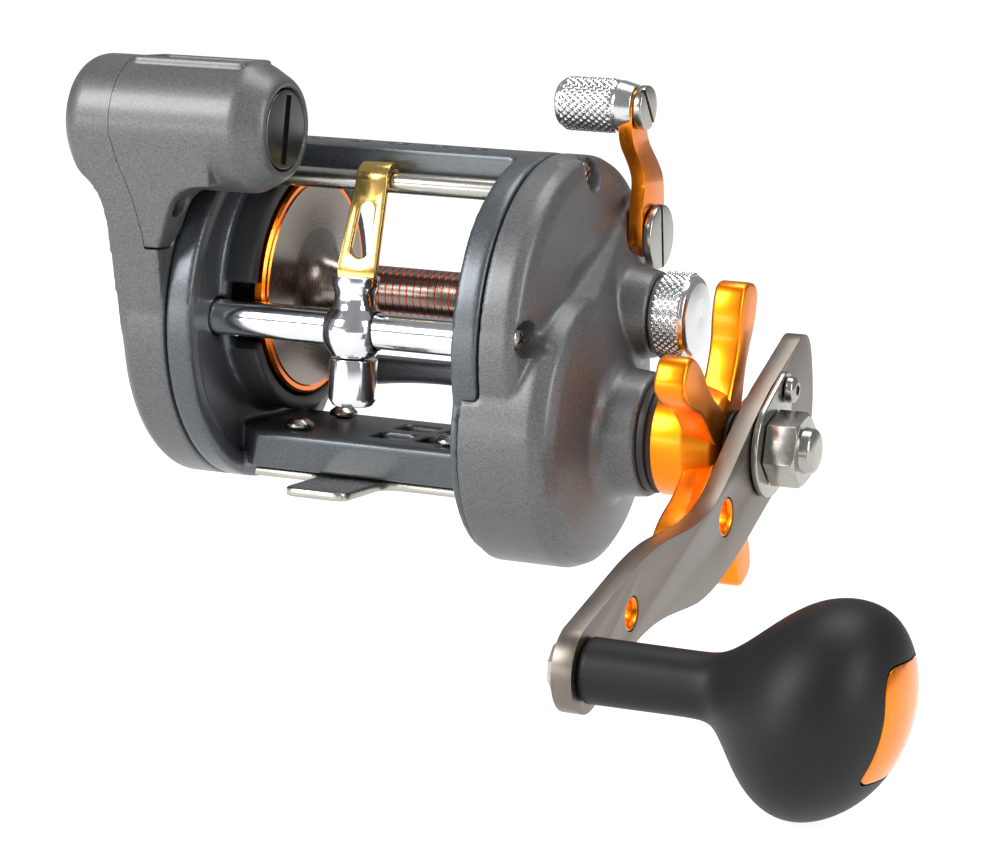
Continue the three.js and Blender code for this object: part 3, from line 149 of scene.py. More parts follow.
def rod(x0, x1, radius, axis, steps=48, soft=0.0):
    return lathe([(x0, 0), (x0, radius), (x1, radius), (x1, 0)], axis, steps, soft)


def post(z0, z1, radius, spot, steps=48):
    return lathe([(z0, 0), (z0, radius), (z1, radius), (z1, 0)], upright=spot, steps=steps)


def sharp_edges(bm, degrees=40):
    return [edge for edge in bm.edges if edge.is_manifold and edge.calc_face_angle(0) > math.radians(degrees)]


def soften(bm, width, segments=3, degrees=40):
    """Round every sharp edge."""
    bmesh.ops.bevel(bm, geom=sharp_edges(bm, degrees), offset=width, segments=segments, profile=0.5,
                    affect="EDGES", clamp_overlap=True, material=-1)
    return bm


def slab(outline, low, high, across="x", soft=0.0):
    """An outline drawn square to an axis, given thickness along it."""
    bm = bmesh.new()
    place = {"x": lambda u, v: (low, u, v), "y": lambda u, v: (u, low, v), "z": lambda u,
             v: (u, v, low)}[across]
    face = bm.faces.new([bm.verts.new(place(*point)) for point in outline])
    raised = bmesh.ops.extrude_face_region(bm, geom=[face])["geom"]
    way = {"x": (high - low, 0, 0), "y": (0, high - low, 0), "z": (0, 0, high - low)}[across]
    bmesh.ops.translate(bm, verts=verts_in(raised), vec=way)
    outward(bm)
    return soften(bm, soft) if soft else bm


def block(x0, x1, y0, y1, z0, z1, soft=0.0):
    return slab([(y0, z0), (y1, z0), (y1, z1), (y0, z1)], x0, x1, soft=soft)


def hull(*rims, steps=72, soft=0.0):
    """The convex shape round several circles square to X, each a (centre, radius, x)."""
    bm = bmesh.new()
    for (y, z), radius, x in rims:
        place = Matrix.Translation((x, y, z)) @ Matrix.Rotation(math.pi / 2, 4, "Y")
        bmesh.ops.create_circle(bm, segments=steps, radius=radius, matrix=place)
    made = bmesh.ops.convex_hull(bm, input=bm.verts[:])
    inside = set(verts_in(made["geom_interior"]))
    spare = [vert for vert in bm.verts if vert in inside or not vert.link_faces]
    bmesh.ops.delete(bm, geom=spare, context="VERTS")
    bmesh.ops.dissolve_limit(bm, angle_limit=math.radians(1), verts=bm.verts, edges=bm.edges)
    outward(bm)
    return soften(bm, soft) if soft else bm


def strap(a, radius_a, b, radius_b, x0, x1, steps=72, soft=0.0):
    """The slab that two pulleys and a belt round them fill."""
    return hull((a, radius_a, x0), (a, radius_a, x1), (b, radius_b, x0), (b, radius_b, x1), steps=steps,
                soft=soft)


def flowing(start, *strokes, count=9):
    """An outline from strokes: a point for a line, two for a curve with one handle, three for one with two."""
    points = [Vector(start)]
    for stroke in strokes:
        if not isinstance(stroke[0], tuple):
            points.append(Vector(stroke))
            continue
        here, end = points[-1], Vector(stroke[-1])
        handles = [Vector(handle) for handle in stroke[:-1]]
        if len(handles) == 1:
            handles = [here.lerp(handles[0], 2 / 3), end.lerp(handles[0], 2 / 3)]
        curve = interpolate_bezier(here, handles[0], handles[1], end, count)
        points += [Vector(point[:2]) for point in curve[1:]]
    if (points[0] - points[-1]).length < 1e-3:
        points.pop()
    return [tuple(point) for point in points]


def arc(centre, radius, start, end, count=12):
    """Points on part of a circle, from one direction in degrees to another."""
    return [polar(centre, radius, start + (end - start) * i / count) for i in range(count + 1)]


def hexagon(across, axis, degrees=0):
    return arc(axis, across / math.sqrt(3), degrees, degrees + 300, 5)


def drafted(bm, *modifiers):
    """The mesh after these modifiers, each a (type, settings) pair."""
    mesh = bpy.data.meshes.new("draft")
    bm.to_mesh(mesh)
    draft = linked("draft", mesh)
    for kind, settings in modifiers:
        modifier = draft.modifiers.new(kind, kind)
        for key, value in settings.items():
            setattr(modifier, key, value)
    result = bpy.data.meshes.new_from_object(draft.evaluated_get(bpy.context.evaluated_depsgraph_get()))
    bm.clear()
    bm.from_mesh(result)
    bpy.data.objects.remove(draft)
    bpy.data.meshes.remove(mesh)
    bpy.data.meshes.remove(result)
    return bm


def combined(bm, operation, tools):
    for tool in tools:
        mesh = bpy.data.meshes.new("tool")
        tool.to_mesh(mesh)
        tool.free()
        cutter = linked("tool", mesh)
        drafted(bm, ("BOOLEAN", {"object": cutter, "operation": operation, "solver": "MANIFOLD"}))
        bpy.data.objects.remove(cutter)
        bpy.data.meshes.remove(mesh)
    return bm


def joined(bm, *tools):
    return combined(bm, "UNION", tools)


def cut(bm, *tools):
    return combined(bm, "DIFFERENCE", tools)


def shared(bm, *tools):
    return combined(bm, "INTERSECT", tools)


def bevelled(bm, width, degrees, segments=3):
    """Edges sharper than this many degrees rounded in one pass."""
    return drafted(bm, ("BEVEL", {"width": width, "segments": segments, "limit_method": "ANGLE",
                                  "angle_limit": math.radians(degrees)}))


def turned_about(bm, axis, degrees):
    """The shape turned about X, then moved from the origin to its axis."""
    bmesh.ops.rotate(bm, verts=bm.verts, cent=(0, 0, 0), matrix=Matrix.Rotation(math.radians(degrees), 3, "X"))
    return moved(bm, 0, *axis)


def reach(point, axis):
    """How far a point lies from a line along X."""
    return math.hypot(point.y - axis[0], point.z - axis[1])


def cast(bm, grain, passes):
    """The shape as a casting: one even skin, its edges and inner corners rounded."""
    return drafted(bm, ("REMESH", {"mode": "VOXEL", "voxel_size": grain, "adaptivity": 0.0}),
                   ("SMOOTH", {"factor": 0.5, "iterations": passes}))


def piece(name, bm, finishes, body, stands_for=(), zones=None, crease=32):
    """A finished piece. zones(centre, normal) in millimetres picks which finish a face takes."""
    finishes = finishes if isinstance(finishes, (list, tuple)) else [finishes]
    for face in bm.faces:
        face.smooth = True
        if zones:
            face.material_index = zones(face.calc_center_median(), face.normal)
    bmesh.ops.scale(bm, vec=(MM, MM, MM), verts=bm.verts)
    mesh = bpy.data.meshes.new(name)
    bm.to_mesh(mesh)
    bm.free()
    mesh.set_sharp_from_angle(angle=math.radians(crease))
    for finish in finishes:
        mesh.materials.append(finish)
    made = linked(name, mesh)
    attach(made, body)
    if stands_for:
        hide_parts(*stands_for)
    return made


# ---------------------------------------------------------------- finishes
def linear(red, green, blue):
    """A colour given from 0 to 255 as it looks on a screen."""
    def channel(value):
        value /= 255
        return value / 12.92 if value <= 0.04045 else ((value + 0.055) / 1.055) ** 2.4
    return (channel(red), channel(green), channel(blue), 1)


class Wire:
    """A value on its way through a finish. Arithmetic on it adds Math nodes."""

    def __init__(self, finish, socket):
        self.finish, self.socket = finish, socket

    def math(self, operation, *values, clamp=False):
        return self.finish.node("Math", {"operation": operation, "use_clamp": clamp},
                                dict(enumerate((self, *values))))

    def __add__(self, other):
        return self.math("ADD", other)

    def __sub__(self, other):
        return self.math("SUBTRACT", other)

    def __rsub__(self, other):
        return self.finish.node("Math", {"operation": "SUBTRACT"}, {0: other, 1: self})

    def __mul__(self, other):
        return self.math("MULTIPLY", other)

    __radd__ = __add__
    __rmul__ = __mul__

    def between(self, low, high):
        """0 up to low, 1 from high on, and a smooth rise between."""
        return self.finish.node("MapRange", {"interpolation_type": "SMOOTHSTEP"},
                                {0: self, 1: low, 2: high})


class Finish:
    """A material made from nodes on Object coordinates, in metres."""

    def __init__(self, name):
        self.material = bpy.data.materials.new(name)
        self.material.use_nodes = True
        self.tree = self.material.node_tree
        self.tree.nodes.clear()

    def node(self, kind, settings, values, output=0):
        made = self.tree.nodes.new("ShaderNode" + kind)
        for key, value in settings.items():
            if key == "stops":
                ramp = made.color_ramp
                for stop, (position, colour) in zip(ramp.elements, value):
                    stop.position, stop.color = position, colour
                for position, colour in value[len(ramp.elements):]:
                    ramp.elements.new(position).color = colour
            else:
                setattr(made, key, value)
        for key, value in values.items():
            if isinstance(value, Wire):
                self.tree.links.new(value.socket, made.inputs[key])
            else:
                made.inputs[key].default_value = value
        return Wire(self, made.outputs[output])

    def place(self):
        return self.node("TexCoord", {}, {}, "Object")

    def noise(self, scale, detail=2.0, stretch=(1, 1, 1), rough=0.5):
        spot = self.node("Mapping", {}, {"Vector": self.place(), "Scale": stretch})
        return self.node("TexNoise", {}, {"Vector": spot, "Scale": scale, "Detail": detail, "Roughness": rough})

    def cells(self, scale):
        """A level of its own for each grain."""
        cell = self.node("TexVoronoi", {}, {"Vector": self.place(), "Scale": scale}, "Color")
        return self.node("SeparateColor", {}, {0: cell})

    def radius(self, axis):
        """The distance from a line along X, in metres."""
        separate = self.node("SeparateXYZ", {}, {0: self.place()}).socket.node
        y = Wire(self, separate.outputs[1]) - axis[0] * MM
        z = Wire(self, separate.outputs[2]) - axis[1] * MM
        return (y * y + z * z).math("SQRT")

    def along(self, index):
        return self.node("SeparateXYZ", {}, {0: self.place()}, index)

    def rings(self, axis, scale):
        """Fine turning marks round a line along X."""
        spot = self.node("CombineXYZ", {}, {0: self.radius(axis), 1: self.along(0)})
        return self.node("TexNoise", {}, {"Vector": spot, "Scale": scale, "Detail": 1.0})

    def mix(self, factor, first, second):
        made = self.tree.nodes.new("ShaderNodeMix")
        made.data_type = "RGBA"
        for index, value in ((0, factor), (6, first), (7, second)):
            if isinstance(value, Wire):
                self.tree.links.new(value.socket, made.inputs[index])
            else:
                made.inputs[index].default_value = value
        return Wire(self, made.outputs[2])

    def bump(self, height, depth, strength=1.0):
        """A surface raised by depth metres where height is 1."""
        return self.node("Bump", {}, {"Height": height, "Distance": depth, "Strength": strength})

    def done(self, colour, metallic, roughness, normal=None, **sockets):
        values = {"Base Color": colour, "Metallic": metallic, "Roughness": roughness}
        if normal:
            values["Normal"] = normal
        values.update({key.replace("_", " "): value for key, value in sockets.items()})
        shader = self.node("BsdfPrincipled", {}, values)
        output = self.tree.nodes.new("ShaderNodeOutputMaterial")
        self.tree.links.new(shader.socket, output.inputs["Surface"])
        return self.material


def metallic_paint(name, dark, light, roughness=0.42, metallic=0.7):
    """Sprayed metallic paint: a fine flake, a slight orange peel and faint handling marks. Here and in the next two,
    the colours are given as in linear."""
    finish = Finish(name)
    flake = finish.cells(6500)
    cloud = finish.noise(90, 3)
    colour = finish.mix((flake * 0.85 + cloud * 0.15).math("MULTIPLY", 1.0, clamp=True), linear(*dark),
                        linear(*light))
    rub = finish.noise(420, 4, (1, 1, 0.25))
    peel = finish.noise(1500, 2)
    grain = flake * 0.35 + peel
    return finish.done(colour, metallic, rub * 0.05 + flake * 0.08 + (roughness - 0.07),
                       finish.bump(grain, 0.00004, 0.5), Coat_Weight=0.25, Coat_Roughness=0.22)


def bright_metal(name, dark, light, roughness, axis=None, grain=2200, stretch=(1, 1, 1), depth=0.000012,
                 coat=0.0, cloudy=0.10):
    """Machined or plated metal, with turning marks round an axis or brushing along one."""
    finish = Finish(name)
    marks = finish.rings(axis, grain) if axis else finish.noise(grain, 2, stretch)
    cloud = finish.noise(140, 3)
    colour = finish.mix(marks * 0.6 + cloud * 0.4, linear(*dark), linear(*light))
    return finish.done(colour, 1.0, marks * 0.1 + cloud * cloudy + (roughness - 0.05 - cloudy / 2),
                       finish.bump(marks, depth, 0.6), Coat_Weight=coat, Coat_Roughness=0.08)


def moulded(name, dark, light, roughness, scale=1400, depth=0.00003, **sockets):
    """Plastic or rubber with a fine matt texture."""
    finish = Finish(name)
    texture = finish.noise(scale, 3)
    wear = finish.noise(60, 4)
    colour = finish.mix(wear * 0.7 + texture * 0.3, linear(*dark), linear(*light))
    return finish.done(colour, 0.0, texture * 0.1 + wear * 0.12 + (roughness - 0.11),
                       finish.bump(texture, depth, 0.5), **sockets)


casing_paint = metallic_paint("casing_paint", (74, 75, 76), (112, 113, 114), 0.46, 0.6)
frame_paint = metallic_paint("frame_paint", (68, 72, 75), (98, 103, 107), 0.38)
metal_cap = bright_metal("counter_cap_metal", (74, 76, 76), (104, 106, 106), 0.3, COUNTER, 1500,
                         depth=0.000005)
# A near-black finish used as painted shade on the frame's bores, shrouds, right inner face and bar holes.
painted_shade_black = moulded("painted_shade_black", (22, 24, 26), (40, 43, 46), 0.5)
orange_star = bright_metal("orange_star", (238, 128, 8), (252, 148, 20), 0.36, DRIVE, 1500, coat=0.2,
                           depth=0.000004, cloudy=0.05)
orange_blade = bright_metal("orange_blade", (234, 122, 10), (250, 144, 20), 0.28, None, 1600,
                            (1, 1, 0.06), coat=0.3, depth=0.000004, cloudy=0.05)
orange_rim = bright_metal("orange_rim", (222, 96, 4), (250, 136, 16), 0.25, SPOOL, 1800, coat=0.3)
spool_metal = bright_metal("spool_metal", (116, 106, 98), (156, 147, 138), 0.27, SPOOL, 2600,
                           depth=0.000004, cloudy=0.05)
gold_plate = bright_metal("gold_plate", (214, 176, 96), (230, 194, 120), 0.2, None, 1800, (1, 1, 0.1),
                          depth=0.000003, cloudy=0.03)
tube_chrome = bright_metal("tube_chrome", (214, 216, 220), (238, 240, 242), 0.14, WORM, 900,
                           depth=0.000003, cloudy=0.03)
knurl_chrome = bright_metal("knurl_chrome", (196, 198, 198), (228, 229, 228), 0.19, SPOOL, 1400,
                            depth=0.000006, cloudy=0.06)
stainless = bright_metal("stainless", (150, 148, 140), (196, 194, 186), 0.27, None, 1500, (0.08, 1, 1))
screw_steel = bright_metal("screw_steel", (146, 144, 138), (184, 182, 175), 0.24, None, 1300,
                           depth=0.000005, cloudy=0.05)
crank_steel = bright_metal("crank_steel", (104, 97, 90), (136, 128, 119), 0.38, None, 1700,
                           (1, 0.07, 0.3), depth=0.00001)
gear_brass = bright_metal("gear_brass", (170, 140, 70), (205, 176, 104), 0.3, DRIVE, 1500)
soft_black = moulded("soft_black", (9, 9, 10), (19, 20, 22), 0.5, 1600, 0.00003,
                     Specular_IOR_Level=0.3)
seal_black = moulded("seal_black", (18, 18, 20), (32, 32, 34), 0.5)
dial_white = moulded("dial_white", (226, 224, 216), (240, 238, 232), 0.35, 900, 0.00001)
dial_black = moulded("dial_black", (20, 20, 22), (30, 30, 32), 0.4)


def window_glass():
    finish = Finish("window_glass")
    haze = finish.noise(220, 3)
    tint = finish.mix(haze, linear(214, 222, 224), linear(232, 238, 240))
    return finish.done(tint, 0.0, haze * 0.06 + 0.03, Alpha=0.28, IOR=1.45, Coat_Weight=0.5)


clear_window = window_glass()


def carry(finish, *nodes):
    """CAD parts that stay as they are, with a finish of their own."""
    for node in nodes:
        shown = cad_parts[node]
        shown.data.materials.clear()
        shown.data.materials.append(finish)


# ---------------------------------------------------------------- frame and foot
PLATFORM_FRONT, PLATFORM_DEPTH, PLATFORM_TOP = SPOOL[0] - 21.5, 33.5, 10.1
RIM_OUTER = RING_INNER - 4
RIM_INNER = RIM_OUTER - 2.6
FLANGE_HOLE = 23.6
WEB_X = RING_OUTER - 2.8
LOBE_RADIUS, LOBE_STEP = 27, RING_INNER + 2
HOLE_PITCH, HOLE_Y = 9, SPOOL[0] - 7.3
BAR_END = 29.6
SCREW_SPOTS = [(x * 17.15, y * 10.15) for x, y in ((-1, -1), (1, -1), (1, 1), (-1, 1))]


def make_frame():
    bars = [shared(block(-BAR_END, BAR_END, SPOOL[0] - 13.1, SPOOL[0] - 1.5, RING[1] + 29.5, RING[1] + 39, 1.2),
                   rod(-34, 34, RING_RADIUS, RING))]
    rear_top = SPOOL[1] - 17
    arch = flowing((-BAR_END, rear_top), (-BAR_END, rear_top - 9), ((0, rear_top - 1), (BAR_END, rear_top - 9)),
                   (BAR_END, rear_top), count=16)
    bars.append(shared(slab(arch, RING[0] + 25.5, RING[0] + 30, "y", 1), rod(-34, 34, RING_RADIUS, RING)))
    back = PLATFORM_FRONT + PLATFORM_DEPTH
    platform = [(PLATFORM_FRONT + 1.5, 2.1), (back, 2.1), (back, PLATFORM_TOP - 1), (back - 1, PLATFORM_TOP),
                (PLATFORM_FRONT + 1, PLATFORM_TOP), (PLATFORM_FRONT, PLATFORM_TOP - 1)]
    taper = slab([(-31, PLATFORM_FRONT - 2), (-22, PLATFORM_FRONT - 2), (-31, PLATFORM_FRONT + 8)], 0, 12, "z")
    bars.append(cut(slab(platform, -BAR_END, BAR_END), taper))
    bars.append(lathe([(RING_INNER, 0), (RING_INNER, LOBE_RADIUS), (LOBE_STEP, LOBE_RADIUS),
                       (LOBE_STEP, LOBE_RADIUS - WALL), (RING_OUTER, LOBE_RADIUS - WALL), (RING_OUTER, 0)],
                      DRIVE, 128, 0.5))
    rings = []
    for side in (-1, 1):
        x0, x1 = sorted((side * RING_INNER, side * RING_OUTER))
        ring = rod(x0, x1, RING_RADIUS, RING, 160, 0.7)
        x0, x1 = sorted((side * (RIM_INNER + 0.8), side * (RING_INNER + 0.5)))
        shroud = lathe([(x0, FLANGE_HOLE), (x0, FLANGE_HOLE + 3), (x1, FLANGE_HOLE + 3), (x1, FLANGE_HOLE)],
                       SPOOL, 128)
        rings.append(joined(ring, shroud))
    # The ring's inner face is dished between its rim and the shroud.
    for side in (-1, 1):
        x0, x1 = sorted((side * (RING_INNER - 0.5), side * (RING_INNER + 1.6)))
        dish = lathe([(x0, 0), (x0, 31.5), (x1, 31.5), (x1, 0)], RING, 128)
        rings[(side + 1) // 2] = cut(rings[(side + 1) // 2],
                                     cut(dish, rod(-32, 32, FLANGE_HOLE + 3, SPOOL, 128)))
    body = joined(rings[0], rings[1], *bars)
    body = cut(body, rod(-RING_OUTER - 1, WEB_X, FLANGE_HOLE, SPOOL, 128), rod(WEB_X - 1, 36, 5.3, SPOOL),
               rod(-36, 36, 4, WORM), rod(-RING_INNER, RING_INNER, 7.3, WORM, 96), rod(-33.3, 33.3, 2.4, ROD),
               rod(27, 36, 3.3, DRIVE))
    for step in range(-2, 3):
        body = cut(body, post(RING[1] + 33, RING[1] + 39, 1.7, (step * HOLE_PITCH, HOLE_Y), 24))
    for x, y in ((13, -6.5), (2.5, -6.5), (2.5, 5.5), (13, 5.5)):
        body = cut(body, block(x - 4, x + 4, y - 3.6, y + 3.6, PLATFORM_TOP - 2.5, PLATFORM_TOP + 1))
    for spot in SCREW_SPOTS:
        body = cut(body, post(-1, 13, 1.8, spot, 24))
    body = cast(body, 0.56, 5)

    def zone(centre, normal):
        """Painted shade: the bore round each flange, each shroud, the right ring's dished inner face and the holes
        through the top bar take the near-black finish, standing in for the shade inside the frame.
        """
        across, ring_reach, spool_reach = abs(centre.x), reach(centre, RING), reach(centre, SPOOL)
        bore = across > RIM_INNER + 0.4 and spool_reach < FLANGE_HOLE + 0.4 and abs(normal.x) < 0.75
        dish = centre.x > RIM_OUTER and ring_reach < 31 and normal.x < -0.3
        shroud = RIM_INNER < across < RING_INNER + 0.4 and spool_reach < FLANGE_HOLE + 3.6 and centre.z > 12
        from_hole = math.hypot((centre.x + HOLE_PITCH / 2) % HOLE_PITCH - HOLE_PITCH / 2, centre.y - HOLE_Y)
        hole = centre.z > RING[1] + 30.5 and across < 20 and from_hole < 1.75
        return 1 if bore or dish or shroud or hole else 0
    piece("ring_frame", body, [frame_paint, painted_shade_black], "body", ("frame",), zone)


make_frame()


def make_foot():
    toe, half, strip, middle = 7, 32, 13.75, -2.5
    outline = [(-25.5, -strip)]
    for side in (1, -1):
        def at(x, y):
            return (middle + side * x, side * y)
        start = outline[-1]
        half_way = flowing(start, at(-toe - 4, -strip), (at(-toe, -strip), at(-toe, -strip - 4)),
                           at(-toe, 3 - half), (at(-toe, -half), at(3 - toe, -half)), at(toe - 3, -half),
                           (at(toe, -half), at(toe, 3 - half)), at(toe, -strip - 4),
                           (at(toe, -strip), at(toe + 4, -strip)), (side * 25.5, -side * strip),
                           (side * 25.5, side * strip), count=7)
        outline = outline[:-1] + half_way
    outline.pop()
    foot = slab(outline, 0, 1.8, "z", 0.45)
    for spot in SCREW_SPOTS:
        foot = cut(foot, post(-1, 3, 1.8, spot, 32))
    piece("foot_plate", foot, stainless, "body", ("reel_foot",))


make_foot()


def cross_slot(x, axis, half, degrees, depth=0.9, width=1.0):
    """A screwdriver slot across a head whose face is at x."""
    return turned_about(block(x - depth, x + 3, -half, half, -width / 2, width / 2), axis, degrees)


for number, spot in enumerate(SCREW_SPOTS, 1):
    seat = PLATFORM_TOP + GAP
    head = lathe([(0.2, 0), (0.2, 1.5), (seat, 1.5), (seat, 3), (seat + 0.9, 3), (seat + 1.9, 1.7),
                  (seat + 1.9, 0)],
                 upright=spot, steps=48, soft=0.25)
    socket = slab(hexagon(1.8, spot), seat + 1.1, seat + 3, "z")
    piece(f"foot_screw_head_{number}", cut(head, socket), screw_steel, "body",
          (f"foot_screw_{number}",))


# ---------------------------------------------------------------- spool
def make_spool():
    hub = RIM_OUTER + 4.5
    half = [(-hub, 2.2), (-hub, 4), (-RIM_OUTER, 4), (-RIM_OUTER, 22.4), (-RIM_OUTER + 0.6, 23),
            (-RIM_INNER - 0.5, 23), (-RIM_INNER, 22.5), (-RIM_INNER, 21.6), (-RIM_INNER + 0.3, 21.3),
            (-RIM_INNER + 0.6, 12), (-RIM_INNER + 1.2, 10), (-RIM_INNER + 2.4, 8), (-RIM_INNER + 4.2, 6.3),
            (-RIM_INNER + 6.4, 5.3), (-RIM_INNER + 8, 5)]
    grooves = []
    for step in range(-8, 9):
        x = step * 1.6
        grooves += [(x - 0.16, 5), (x - 0.12, 4.72), (x + 0.12, 4.72), (x + 0.16, 5)]
    mirrored = [(-x, radius) for x, radius in reversed(half)]

    def zone(centre, normal):
        """The rims and the grooves' floors are orange."""
        away = reach(centre, SPOOL)
        return 1 if away > 21.4 or (away < 4.9 and abs(centre.x) < 14) else 0
    piece("spool_drum", lathe(half + grooves + mirrored, SPOOL, 144), [spool_metal, orange_rim], "spool",
          ("spool",), zone)


make_spool()

# ---------------------------------------------------------------- levelwind
tube = lathe([(-33.8, 2.8), (-33.8, 3.7), (33.8, 3.7), (33.8, 2.8)], WORM, 80)
slot = block(-25.6, 25.6, WORM[0] - 1.5, WORM[0] + 1.5, WORM[1] - 6, WORM[1])
piece("guard_tube", cut(tube, slot), tube_chrome, "body", ("levelwind_tube",))


def make_worm():
    """The worm: two helical grooves that cross, cut by winding a thin ridge of tool round the shaft."""
    shaft = lathe([(-33.3, 0), (-33.3, 1.5), (-26.6, 1.5), (-26.6, 2.1), (26.6, 2.1), (26.6, 1.5), (38.4, 1.5),
                   (38.4, 0)], WORM, 40, 0.1)
    for hand in (-1, 1):
        tool = bmesh.new()
        section = ((-0.45, 2.6), (0.45, 2.6), (0.2, 1.6), (-0.2, 1.6))
        tool.faces.new([tool.verts.new((-25 + u, 0, radius)) for u, radius in section])
        turns = 8
        bmesh.ops.spin(tool, geom=tool.faces[:], cent=(0, 0, 0), axis=(hand, 0, 0), angle=TURN * turns,
                       steps=turns * 16, dvec=(50 / (turns * 16), 0, 0))
        shaft = cut(shaft, moved(outward(tool), 0, *WORM))
    return shaft


piece("worm_screw", make_worm(), stainless, "worm", ("worm_shaft",))
piece("steadying_rod", rod(-32.8, 32.8, 2.1, ROD, 56, 0.3), stainless, "body", ("guide_rod",))


def make_carriage():
    top = WORM[1] + 10.7
    low = WORM[1] - 5.9
    swell = [(-5.6, 4.1), (-5.1, 4.6), (-4, 5.4), (-2.6, 6.2), (-1.2, 6.6), (0, 6.7), (1.2, 6.55), (2.4, 6.1),
             (3.4, 5.4), (4.2, 4.8), (5.2, 4.35), (6.2, 4.2), (7.2, 4.2), (8.2, 4.5), (8.8, 4.75)]
    body = lathe([(low + GAP, 0)] + [(WORM[1] + up, radius) for up, radius in swell] + [(top, 4.75), (top, 0)],
                 upright=(CARRIAGE_X, WORM[0]), steps=96, soft=0.2)
    body = cut(body, rod(-10, 12, 4, WORM, 72),
               block(CARRIAGE_X - 4.3, CARRIAGE_X + 4.3, WORM[0] - 0.65, WORM[0] + 1.45, top - 3.3, top + 1),
               post(low - 1, WORM[1], 2.2, (CARRIAGE_X, WORM[0]), 32))
    piece("guide_carriage", body, tube_chrome, "carriage", ("line_carriage",))
    cap = lathe([(low - 9.6, 0), (low - 9.6, 3.9), (low - 8.2, 4.85), (low, 4.85), (low, 0)],
                upright=(CARRIAGE_X, WORM[0]), steps=96, soft=0.35)
    piece("pawl_housing_cap", cap, tube_chrome, "carriage", ("pawl_cap",))


make_carriage()


def make_guide():
    thick = 1.5
    foot_y, foot_z = WORM[0] + 0.4, WORM[1] + 10.7
    hook = 2.6
    outer = arc(ROD, hook + thick, 185, 10, 14)
    inner = arc(ROD, hook, 10, 185, 14)
    side_view = ([(foot_y - thick / 2, foot_z - 3), (foot_y - thick / 2, foot_z + 1)] + outer + inner
                 + [(foot_y + thick / 2, foot_z + 1), (foot_y + thick / 2, foot_z - 3)])
    strip = slab(side_view, CARRIAGE_X - 6, CARRIAGE_X + 6)
    x = CARRIAGE_X
    face = slab([(x - 3.6, foot_z - 3), (x - 4.3, foot_z + 1.5), (x - 3.2, ROD[1] + 6), (x + 3.2, ROD[1] + 6),
                 (x + 4.3, foot_z + 1.5), (x + 3.6, foot_z - 3)], foot_y - 6, ROD[0] + 8, "y")
    low, high = foot_z + 5.6, ROD[1] - 5.4
    eye = slab(arc((x, low), 2.2, 180, 360) + arc((x, high), 1.8, 0, 180), foot_y - 6, ROD[0] + 8, "y")
    guide = cut(shared(strip, face), eye)
    piece("gold_guide", bevelled(guide, 0.32, 38), gold_plate, "carriage", ("line_guide",))


make_guide()

# ---------------------------------------------------------------- left side plate, arm and counter
SEAM = [(COUNTER_SEAM, 16), (COUNTER_SEAM, -2), (-42.6, -8), (-41.5, -10.5), (-39.8, -15), (-38.2, -22),
        (-37.4, -29)]
ARM_FOOT = shift(RING, -16, 4)
COUNTER_SCREW = shift(SPOOL, -41, 18.5)


def seam(offset):
    return [(x + offset, COUNTER[1] + z) for x, z in SEAM]


def arm_side():
    """The arm as a belt round the counter and the plate, its left end rounded."""
    left = COUNTER_LEFT
    rounded = [(COUNTER, COUNTER_RADIUS - inset, left + x)
               for x, inset in ((5, 0), (3.6, 0.25), (2.2, 0.9), (1.1, 1.9), (0.4, 3.1), (0, 4.6))]
    return hull((ARM_FOOT, 20.2, -10), (ARM_FOOT, 20.2, LEFT_FACE - 1), (ARM_FOOT, 17, LEFT_FACE - 3),
                (COUNTER, COUNTER_RADIUS, -10), *rounded, steps=128)


def make_left_plate():
    floor = LEFT_FACE + 2
    inner = RING_RADIUS - 2.3
    disc = lathe([(-PLATE_X, 0), (-PLATE_X, RING_RADIUS), (LEFT_FACE + 2.2, RING_RADIUS),
                  (LEFT_FACE + 0.6, RING_RADIUS - 1.2), (LEFT_FACE, RING_RADIUS - 3), (LEFT_FACE, 0)], RING,
                 192)
    hollow = lathe([(floor, 0), (floor, inner - 2), (floor + 2, inner), (-20, inner), (-20, 0)], RING, 128)
    bottom = SPOOL[1] - 14
    edge = [(x, SPOOL[1] + z) for x, z in flowing((-45.1, -6), (-46.3, 13), ((-46.8, 19.8), (-49.8, 22.4)),
                                                  ((-54.8, 26), (-55.8, 31.5)), count=14)]
    foot = COUNTER[1] - 25.1
    front = (seam(2)[:-1] + [(-35.8, foot), (-PLATE_X - GAP, foot), (-PLATE_X - GAP, bottom),
                             (LEFT_FACE, bottom)] + edge
             + [(COUNTER_LEFT, SPOOL[1] + 34.5), (COUNTER_LEFT, COUNTER[1] + 12),
                (COUNTER_LEFT + 4, COUNTER[1] + 16)])
    arm = shared(arm_side(), slab(front, -70, 70, "y"))
    arm = cut(arm, rod(-PLATE_X, 0, RING_RADIUS + GAP, RING, 128))
    # The bore narrows to the left, so that the arm's slanting edge keeps its wall.
    bore_start, bore_radius = COUNTER_LEFT + WALL, COUNTER_RADIUS - WALL
    counter_bore = lathe([(bore_start, 0), (bore_start, 6), (bore_start + 3, 8.6),
                          (bore_start + 5.6, bore_radius),
                          (COUNTER_SEAM + 8, bore_radius), (COUNTER_SEAM + 8, 0)], COUNTER, 64)
    plate = cut(joined(disc, arm), hollow, counter_bore,
                rod(COUNTER_LEFT - 2, COUNTER_LEFT + 3, 2.7, COUNTER, 40),
                rod(-42, -10, 1.3, COUNTER_SCREW, 20))
    beyond = cut(slab(seam(0)[:-1] + [(-37.86, foot), (0, foot), (0, COUNTER[1] + 20)], -90, 60, "y"),
                 rod(-70, 1, RING_RADIUS + 0.1, RING, 160))
    casing = cut(cast(plate, 0.5, 5), beyond)
    piece("left_casing", casing, casing_paint, "body", ("left_side_plate",))


make_left_plate()
WINDOW_X, WINDOW_HALF_X, WINDOW_HALF_Y = -30.2, 10.9, 4.6
WHEEL_RADIUS, WHEEL_WIDTH, WHEEL_PITCH = 9.4, 6.6, 6.9


